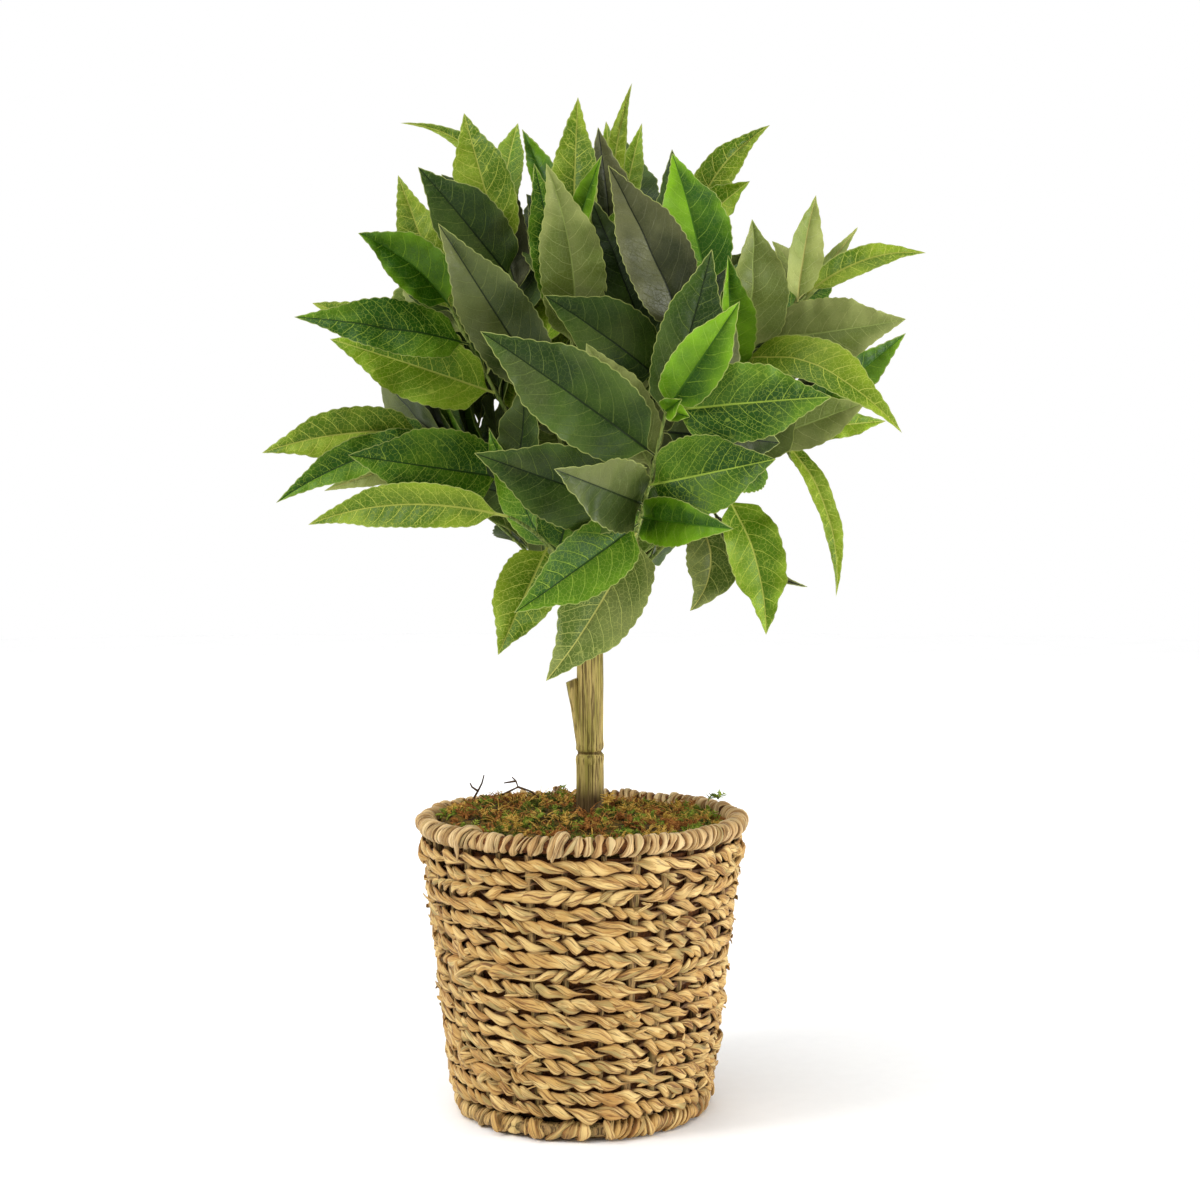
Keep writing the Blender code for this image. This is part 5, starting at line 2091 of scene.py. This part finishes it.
    def add_wraps(self, piece: Skin, ring: Ring, draw: Random) -> None:
        """Add the wraps that go round a ring, each of one strand or two.

        Args:
            piece: The skin that they join.
            ring: The ring.
            draw: Seeded chance.
        """
        spacing = tau * ring.radius / ring.wraps
        pace, row = ring.bunch
        for k in range(ring.wraps):
            turn = tau * (k + draw.uniform(-ring.jitter, ring.jitter)) / ring.wraps
            angle = turn - ring.start
            lean = ring.lean + ring.bunch_lean * waver(pace * k, row, 0.0)
            slant = radians(lean + draw.uniform(-ring.lean_spread, ring.lean_spread))
            strands = draw.choice((1, 1, 2))
            size = draw.uniform(*ring.size) if ring.size else 1.0
            if any(low < math.degrees(angle) < high for low, high in ring.bare):
                continue
            for strand in range(strands):
                shift = (strand - (strands - 1) / 2) / strands * spacing / ring.radius
                half = spacing * draw.uniform(*ring.half_width) / strands
                uneven = size * draw.uniform(*ring.uneven)
                self.add_wrap(piece, ring, angle + shift, uneven,
                              (half, draw.uniform(*ring.half_thickness)), slant, draw)

    def add_wrap(self, piece: Skin, ring: Ring, angle: float, size: float, half: Pair,
                 slant: float, draw: Random) -> None:
        """Add one wrap of grass round a ring.

        Args:
            piece: The skin that the wrap joins.
            ring: The ring.
            angle: Where it is round the basket.
            size: How far out it lies, as a share of the ring's own size.
            half: Half its width and half its thickness.
            slant: How far it leans along the ring, in radians.
            draw: Seeded chance.
        """
        out = polar(angle)
        offset = draw.uniform(0.0, 60.0)
        swell = draw.uniform(0.0, tau)
        hook = draw.uniform(0.0, self.wrap_hook)

        def place(turn: float, share: float) -> Vector:
            """A place on the wrap.

            Args:
                turn: Share of the way round its section.
                share: Share of the way round the ring.

            Returns:
                The place.
            """
            about = tau * share + pi
            section = tau * turn + pi / 8
            bulge = 1.0 + self.wrap_bulge * sin(2.0 * about + swell)
            proud = half[1] * (cos(section) * abs(cos(section)) ** 0.4)
            depth = (ring.half_depth * size * bulge - half[1]) + proud
            tall = (ring.half_height * size * bulge - half[1]) + proud
            beside = half[0] * sin(section)
            beside *= 1.0 + self.wrap_swell * sin(3.0 * about + swell)
            rise = sin(about)
            beside += tall * (rise * math.tan(slant) - hook * max(0.0, -rise) ** 3)
            point = out * (ring.radius + depth * cos(about)) + UP.cross(out) * beside
            return point + Vector((0.0, 0.0, ring.height + tall * rise))

        def shade_mask(turn: float, share: float) -> Pair:
            """Painted shade that makes the wrap's own edges darker than its back."""
            beside = abs(sin(tau * turn))
            return beside, 0.5 * beside ** 4

        piece.bend(*self.wrap_grid, place,
                   lambda turn, share: (abs(share - 0.5) * 2.6 + offset, turn * 0.9 + offset),
                   shade_mask)

    def build_rim(self) -> None:
        """Make the wrapped rim over its core."""
        height = self.wall_top + GAP + 2 * self.rim_half - self.rim_tall
        ring = Ring(self.rim_radius, height, self.rim_half, self.rim_tall, wraps=112, jitter=0.22,
                    bunch=(0.37, 3.0), lean=20.0, bunch_lean=30.0, lean_spread=14.0,
                    half_width=(0.38, 0.54), half_thickness=(0.0012, 0.0018),
                    uneven=(0.94, 1.04), size=(0.82, 1.07))
        piece = Skin("rim_wraps", self.wrap)
        draw = Random(5)
        self.add_wraps(piece, ring, draw)
        for degrees, drop in self.overlap:
            self.add_overlap(piece, degrees, drop, height, draw)
        thing = piece.finish(self.sharp)
        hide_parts("basket_rim")
        # The rim's core carries the painted shade, seen dark between the wraps.
        self.build_core("rim_core", ring, self.rim_tall - self.rim_core_inset, self.shade)

    def add_overlap(self, piece: Skin, degrees: float, drop: float, height: float,
                    draw: Random) -> None:
        """Add wraps that cross the others and hang down over the first row.

        Args:
            piece: The skin that they join.
            degrees: Where they are round the basket.
            drop: How far they hang below the rim.
            height: The height of the rim's middle.
            draw: Seeded chance.
        """
        reach = self.rim_half + 0.0006
        for shift, tail in ((-0.8, 0.35), (0.6, 1.0)):
            turn = degrees + shift
            lean = draw.uniform(1.5, 3.0)
            places = []
            for about in (150.0, 95.0, 40.0, 0.0, -35.0, -50.0):
                hang = drop if about == -50.0 else 0.0
                out = self.rim_radius + reach * cos(radians(about)) + hang * 0.1
                up = reach * sin(radians(about)) - hang * tail
                angle = radians(turn + lean * (about - 50.0) / 100.0)
                places.append(polar(angle, out, height + up))
            facing = (polar(radians(turn)) + UP * 0.6).normalized()
            piece.strip(places, (0.0012, 0.0017), 0.0008, facing, draw, 20)

    def build_core(self, name: str, ring: Ring, reach: float, material: Material) -> None:
        """Make the core that a ring's wraps go round.

        Args:
            name: The piece's name.
            ring: The ring.
            reach: The core's own radius.
            material: Its finish.
        """
        piece = Skin(name, material)

        def place(turn: float, share: float) -> Vector:
            """A place on the core."""
            out, up = reach * cos(tau * turn), reach * sin(tau * turn)
            return polar(tau * share, ring.radius + out, ring.height + up)

        piece.bend(12, 120, place, lambda turn, share: (share * 45.0, turn * 3.0))
        piece.finish()

    def build_foot(self) -> None:
        """Make the wrapped foot, flat enough underneath to stand on."""
        half_height = self.foot_height / 2
        ring = Ring(self.foot_radius - self.foot_half, half_height, self.foot_half, half_height,
                    wraps=66, jitter=0.25, bunch=(0.43, 7.0), lean=8.0, bunch_lean=60.0,
                    lean_spread=22.0, half_width=(0.40, 0.66), half_thickness=(0.0011, 0.0016),
                    uneven=(0.72, 1.0), start=pi,
                    bare=((-108.0, -101.0), (-84.0, -78.0), (40.0, 48.0)))
        piece = Skin("foot_wraps", self.grass)
        draw = Random(6)
        self.add_wraps(piece, ring, draw)
        for degrees in self.frayed_foot:
            turn = degrees + draw.uniform(-2.0, 2.0)
            side = draw.choice((-1.0, 1.0)) * draw.uniform(1.0, 4.0)
            reach = self.foot_radius + 0.0004
            places = [polar(radians(turn + side * shift), reach + out, height)
                      for shift, out, height in ((0.0, -0.0010, 0.0115), (0.3, 0.0008, 0.0085),
                                                 (0.7, 0.0010, 0.0045), (1.0, 0.0004, 0.0020))]
            piece.strip(places, (0.0016, 0.0023), 0.0009, polar(radians(turn)), draw, 12)
        thing = piece.finish(self.sharp)
        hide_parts("basket_foot")
        self.build_core("foot_core", ring, self.foot_half - self.foot_core_inset, self.cane)


@dataclass
class Moss:
    """Dried moss on the filling: a lumpy bed with tufts of curled fibres."""
    inner: float = 0.0082
    outer: float = 0.0700
    low: float = 0.1283
    edge_height: float = 0.1392
    middle_height: float = 0.1468
    lump: float = 0.0026
    lumps: tuple[Pair, ...] = ((0.004, 0.45), (0.0016, 0.3))
    spacing: float = 0.010
    patches: float = 0.011
    bed_grid: tuple[int, int] = (280, 90)
    bed_top: float = 0.8
    tufts: int = 560
    fronds: int = 6
    barbs: int = 4
    frond_length: Pair = (0.0030, 0.0056)
    frond_radius: Pair = (0.00026, 0.00042)
    hair_tufts: int = 90
    hairs: int = 9
    hair_length: Pair = (0.0045, 0.0095)
    hair_radius: Pair = (0.00018, 0.00034)
    twig_radius: Pair = (0.00062, 0.00032)
    mounds: tuple[tuple[float, float, float, float], ...] = (
        (-0.044, 0.034, 0.024, 0.0050), (-0.060, 0.006, 0.018, 0.0045),
        (-0.014, 0.048, 0.020, 0.0022), (0.016, 0.006, 0.012, 0.0025),
        (0.060, 0.028, 0.012, 0.0020), (-0.026, -0.022, 0.014, 0.0024),
        (0.030, -0.034, 0.014, 0.0018),
    )
    twigs: tuple[tuple[Triple, ...], ...] = (
        ((-56, 149, -34), (-52, 156, -34), (-50, 160, -34), (-49, 164, -34)),
        ((-52, 156, -34), (-55, 158, -33), (-56, 160, -33)),
        ((-40, 154, -40), (-36, 156, -40), (-32, 158, -40), (-33, 161, -40), (-35, 163, -40)),
        ((-32, 158, -40), (-26, 156, -40), (-20, 152, -38)),
        ((-33, 161, -40), (-39, 160, -40)),
    )

    def top(self, x: float, y: float) -> float:
        """Height of the bed at a place.

        Args:
            x: The place, to the right.
            y: The place, to the back.

        Returns:
            The height in metres.
        """
        share = min(1.0, hypot(x - TRUNK.across * 0.5, y) / self.outer)
        lump = noise.noise(Vector((x, y, 0.0)) / self.spacing) * self.lump
        fine = 0.0
        for k, (size, rise) in enumerate(self.lumps):
            fine += noise.noise(Vector((x, y, 3.0 * (k + 1))) / size) * self.lump * rise
        for across, back, reach, rise in self.mounds:
            near = hypot(x - across, y - back) / reach
            lump += rise * exp(-near * near)
        return mix(self.middle_height, self.edge_height, share) + lump + fine

    def build(self) -> None:
        """Make the bed, its tufts in four colours and its twigs."""
        self.build_bed()
        colours = (
            ("moss_green", paint(84, 108, 28), paint(154, 168, 62), 0.16),
            ("moss_dark", paint(48, 56, 16), paint(102, 108, 36), -0.06),
            ("moss_gold", paint(168, 128, 44), paint(224, 184, 92), 0.42),
            ("moss_brown", paint(104, 60, 22), paint(186, 126, 62), -0.30),
            ("moss_twigs", paint(48, 34, 20), paint(98, 74, 48), -9.0),
        )
        draw = Random(31)
        nets = [Threads(colour[0], 4) for colour in colours]
        for k in range(self.tufts + self.hair_tufts):
            angle = draw.uniform(0.0, tau)
            reach = math.sqrt(draw.uniform(0.016, 1.0)) * self.outer
            x, y = reach * cos(angle), reach * sin(angle)
            patch = noise.noise(Vector((x, y, 7.0)) / self.patches) + draw.uniform(-0.42, 0.42)
            kinds = sorted(range(len(colours)), key=lambda kind: abs(colours[kind][3] - patch))
            if k < self.tufts:
                self.add_tuft(nets[kinds[0]], x, y, draw)
            else:
                self.add_hairs(nets[draw.choice((2, 3, kinds[0]))], x, y, draw)
        self.add_sprigs(nets, draw)
        for threads, (name, low, high, _) in zip(nets, colours):
            material = MottledFinish(name, low, high, 240.0, 1500.0, 0.0004).material()
            threads.finish(material)

    def add_sprigs(self, nets: list[Threads], draw: Random) -> None:
        """Add the twigs and sprigs that stand above the moss, where the front view shows them.

        Args:
            nets: The threads of each colour.
            draw: Seeded chance.
        """
        green, _, gold = nets[:3]
        for line in self.twigs:
            nets[-1].lay([EYE.seen(*place) for place in line],
                         [mix(*self.twig_radius, k / (len(line) - 1)) for k in range(len(line))])
        for threads, across, up, out, count in ((green, -10, 153, -14, 4), (gold, -6, 153, -14, 2),
                                                (green, 68, 152, -22, 4), (gold, 13, 149, 8, 6),
                                                (green, 63, 151, -20, 2)):
            for _ in range(count):
                away = Vector((draw.uniform(-1.0, 1.0), draw.uniform(-1.0, 1.0), 1.3)).normalized()
                self.add_frond(threads, EYE.seen(across, up, out), away,
                               draw.uniform(0.005, 0.008), draw)

    def build_bed(self) -> None:
        """Make the closed bed, with its hole for the trunk."""
        piece = Skin("moss_bed_top",
                     MottledFinish("moss_floor", paint(38, 24, 8), paint(120, 96, 34),
                                   170.0, 760.0, 0.002).material())

        def place(turn: float, share: float) -> Vector:
            """A place on the bed: share runs out over the top and back underneath.

            Args:
                turn: Share of the way round.
                share: Share of the way along.

            Returns:
                The place.
            """
            out = clamp(share / self.bed_top if share <= self.bed_top else (1.0 - share) / 0.2)
            point = Vector((TRUNK.across * (1.0 - out), 0.0, 0.0))
            point += polar(tau * turn) * mix(self.inner, self.outer, out)
            point.z = self.top(point.x, point.y) if 0.0 < share <= 0.801 else self.low
            return point

        piece.bend(*self.bed_grid, place, lambda turn, share: (turn * 40.0, share * 7.0))
        thing = piece.finish()
        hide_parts("moss_bed")

    def add_frond(self, threads: Threads, foot: Vector, heading: Vector, reach: float,
                  draw: Random) -> None:
        """Add one feathery frond: a bending rib with short side leaves.

        Args:
            threads: The rods that it joins.
            foot: Where it stands.
            heading: The way it sets out.
            reach: Its length.
            draw: Seeded chance.
        """
        places = [foot]
        across = heading.orthogonal().normalized()
        across = Matrix.Rotation(draw.uniform(0.0, tau), 3, heading) @ across
        bend = heading.cross(across) * draw.uniform(-0.5, 0.5) - UP * draw.uniform(0.0, 0.35)
        for _ in range(self.barbs):
            places.append(places[-1] + heading * (reach / self.barbs))
            heading = (heading + bend).normalized()
        thick = draw.uniform(*self.frond_radius)
        threads.lay(places, [thick * (1.0 - 0.17 * k) for k in range(len(places))])
        for k, place in enumerate(places[1:-1]):
            length = reach * mix(0.42, 0.22, k / self.barbs) * draw.uniform(0.8, 1.2)
            ahead = (places[k + 2] - place).normalized()
            for side in (-1.0, 1.0):
                tip = place + (across * side * 0.8 + ahead * 0.6) * length
                threads.lay([place, tip], [thick * 1.1, thick * 0.45])

    def foot(self, x: float, y: float, spread: float, rise: float,
             draw: Random) -> tuple[Vector, Vector]:
        """Where a frond or a hair near a place stands, and the way out from that place.

        Args:
            x: The place, to the right.
            y: The place, to the back.
            spread: How far from it the foot may be.
            rise: How high over the bed.
            draw: Seeded chance.

        Returns:
            The foot and the way.
        """
        away = polar(draw.uniform(0.0, tau))
        foot = Vector((x, y, 0.0)) + away * draw.uniform(0.0, spread)
        foot.z = self.top(foot.x, foot.y) + rise
        return foot, away

    def add_tuft(self, threads: Threads, x: float, y: float, draw: Random) -> None:
        """Add one tuft of fronds that lean out from its middle.

        Args:
            threads: The rods that it joins.
            x: Where it stands, to the right.
            y: Where it stands, to the back.
            draw: Seeded chance.
        """
        size = draw.uniform(0.65, 1.25)
        for _ in range(self.fronds):
            foot, away = self.foot(x, y, 0.0022, -0.0006, draw)
            if hypot(foot.x, foot.y) > self.outer + 0.001:
                continue
            lean = draw.uniform(0.15, 1.35)
            heading = away * sin(lean) + UP * cos(lean)
            reach = draw.uniform(*self.frond_length) * size
            self.add_frond(threads, foot, heading, reach, draw)

    def add_hairs(self, threads: Threads, x: float, y: float, draw: Random) -> None:
        """Add a few curled hairs round a place.

        Args:
            threads: The rods that they join.
            x: The place, to the right.
            y: The place, to the back.
            draw: Seeded chance.
        """
        for _ in range(self.hairs):
            foot, away = self.foot(x, y, 0.0040, 0.0005, draw)
            if hypot(foot.x, foot.y) > self.outer:
                continue
            reach = draw.uniform(*self.hair_length)
            lean = draw.uniform(0.5, 1.35)
            curl = Matrix.Rotation(draw.uniform(-0.9, 0.9), 3, "Z")
            places = [foot]
            heading = away * sin(lean) + UP * cos(lean)
            for _ in range(3):
                places.append(places[-1] + heading * (reach / 3))
                heading = (curl @ heading + away * 0.25
                           - UP * draw.uniform(0.0, 0.4)).normalized()
            thick = draw.uniform(*self.hair_radius)
            threads.lay(places, [thick * left for left in (1.0, 0.9, 0.6, 0.2)])


@dataclass
class Studio:
    """The pale floor, the soft lights and the camera at the photograph's angle."""
    lens: float = 57.6
    sensor: float = 36.0
    shift: float = (520 - 600) / 1200
    floor_size: float = 4.0
    sky: float = 0.38
    backdrop: float = 1.0
    ceiling: float = 2.3
    ceiling_spread: float = 80.0
    ceiling_turn: Pair = (16.0, -12.0)
    aim: Vector = Vector((0.0, 0.0, 0.25))

    def build(self) -> None:
        """Make the floor, the lights, the sky and the camera."""
        self.build_floor()
        self.light("key_light", (-1.4, -0.7, 1.2), 0.6, 14.5)
        self.light("side_light", (1.6, -0.5, 0.25), 0.8, 23.0)
        self.light("back_light", (-0.2, 1.6, 1.2), 1.4, 6.0)
        sun = bpy.data.lights.new("ceiling_light", "SUN")
        sun.energy = self.ceiling
        sun.angle = radians(self.ceiling_spread)
        lamp = link("ceiling_light", sun)
        lamp.rotation_euler = (*map(radians, self.ceiling_turn), 0.0)
        self.build_sky()
        camera = bpy.data.cameras.new("camera")
        camera.sensor_width = self.sensor
        camera.lens = self.lens
        camera.shift_y = self.shift
        eye = link("camera", camera)
        eye.location = EYE.place()
        eye.rotation_euler = (radians(90.0), 0.0, 0.0)
        bpy.context.scene.camera = eye

    def build_sky(self) -> None:
        """Make the sky, which is brighter behind the tree than it shines on it."""
        world = bpy.data.worlds.new("studio")
        world.use_nodes = True
        tree = world.node_tree
        sky = tree.nodes["Background"]
        sky.inputs["Color"].default_value = (1.0, 1.0, 1.0, 1.0)
        path = tree.nodes.new("ShaderNodeLightPath")
        strength = tree.nodes.new("ShaderNodeMath")
        strength.operation = "MULTIPLY_ADD"
        strength.inputs[1].default_value = self.backdrop - self.sky
        strength.inputs[2].default_value = self.sky
        tree.links.new(path.outputs["Is Camera Ray"], strength.inputs[0])
        tree.links.new(strength.outputs[0], sky.inputs["Strength"])
        bpy.context.scene.world = world
        bpy.context.scene.view_settings.view_transform = "Standard"

    def build_floor(self) -> None:
        """Make the pale floor."""
        bm = bmesh.new()
        bmesh.ops.create_circle(bm, cap_ends=True, segments=96, radius=self.floor_size)
        mesh = bpy.data.meshes.new("floor")
        bm.to_mesh(mesh)
        bm.free()
        mesh.materials.append(MottledFinish("pale_floor", (0.95, 0.95, 0.95), (0.97, 0.97, 0.97),
                                            8.0, 120.0, 0.0002, 0.8, 0.1).material())
        floor = link("floor", mesh)

    def light(self, name: str, place: Triple, size: float, power: float) -> None:
        """Add one soft light that faces the tree.

        Args:
            name: The light's name.
            place: Where it hangs.
            size: Its width.
            power: Its power in watts.
        """
        lamp = bpy.data.lights.new(name, "AREA")
        lamp.shape = "DISK"
        lamp.size = size
        lamp.energy = power
        thing = link(name, lamp)
        thing.location = place
        thing.rotation_euler = (self.aim - Vector(place)).to_track_quat("-Z", "Y").to_euler()


def dress_frame() -> None:
    """Give the two nodes that stay, the basket's floor and its filling, their finishes."""
    finishes = {
        "basket_floor": MottledFinish("floor_grass", paint(120, 90, 50), paint(188, 156, 104),
                                      120.0, 700.0),
        "potting_fill": MottledFinish("filling", paint(44, 32, 20), paint(86, 66, 44),
                                      150.0, 800.0),
    }
    for name, finish in finishes.items():
        material = finish.material()
        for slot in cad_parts[name].material_slots:
            slot.material = material


def main() -> None:
    """Build the studio, the basket, the moss, the trunk, the shoots and the leaves."""
    logging.basicConfig(level=logging.INFO, format="%(message)s")
    Studio().build()
    dress_frame()
    Basket().build()
    Moss().build()
    Stem().build()
    limbs = Limbs()
    Shoots().build(limbs)
    crown = Crown(limbs)
    crown.grow()
    log.info("leaves: %s", {name: len(blades) for name, blades in crown.blades.items()})
    Leaves().build(crown)


if __name__ == "__main__":
    main()
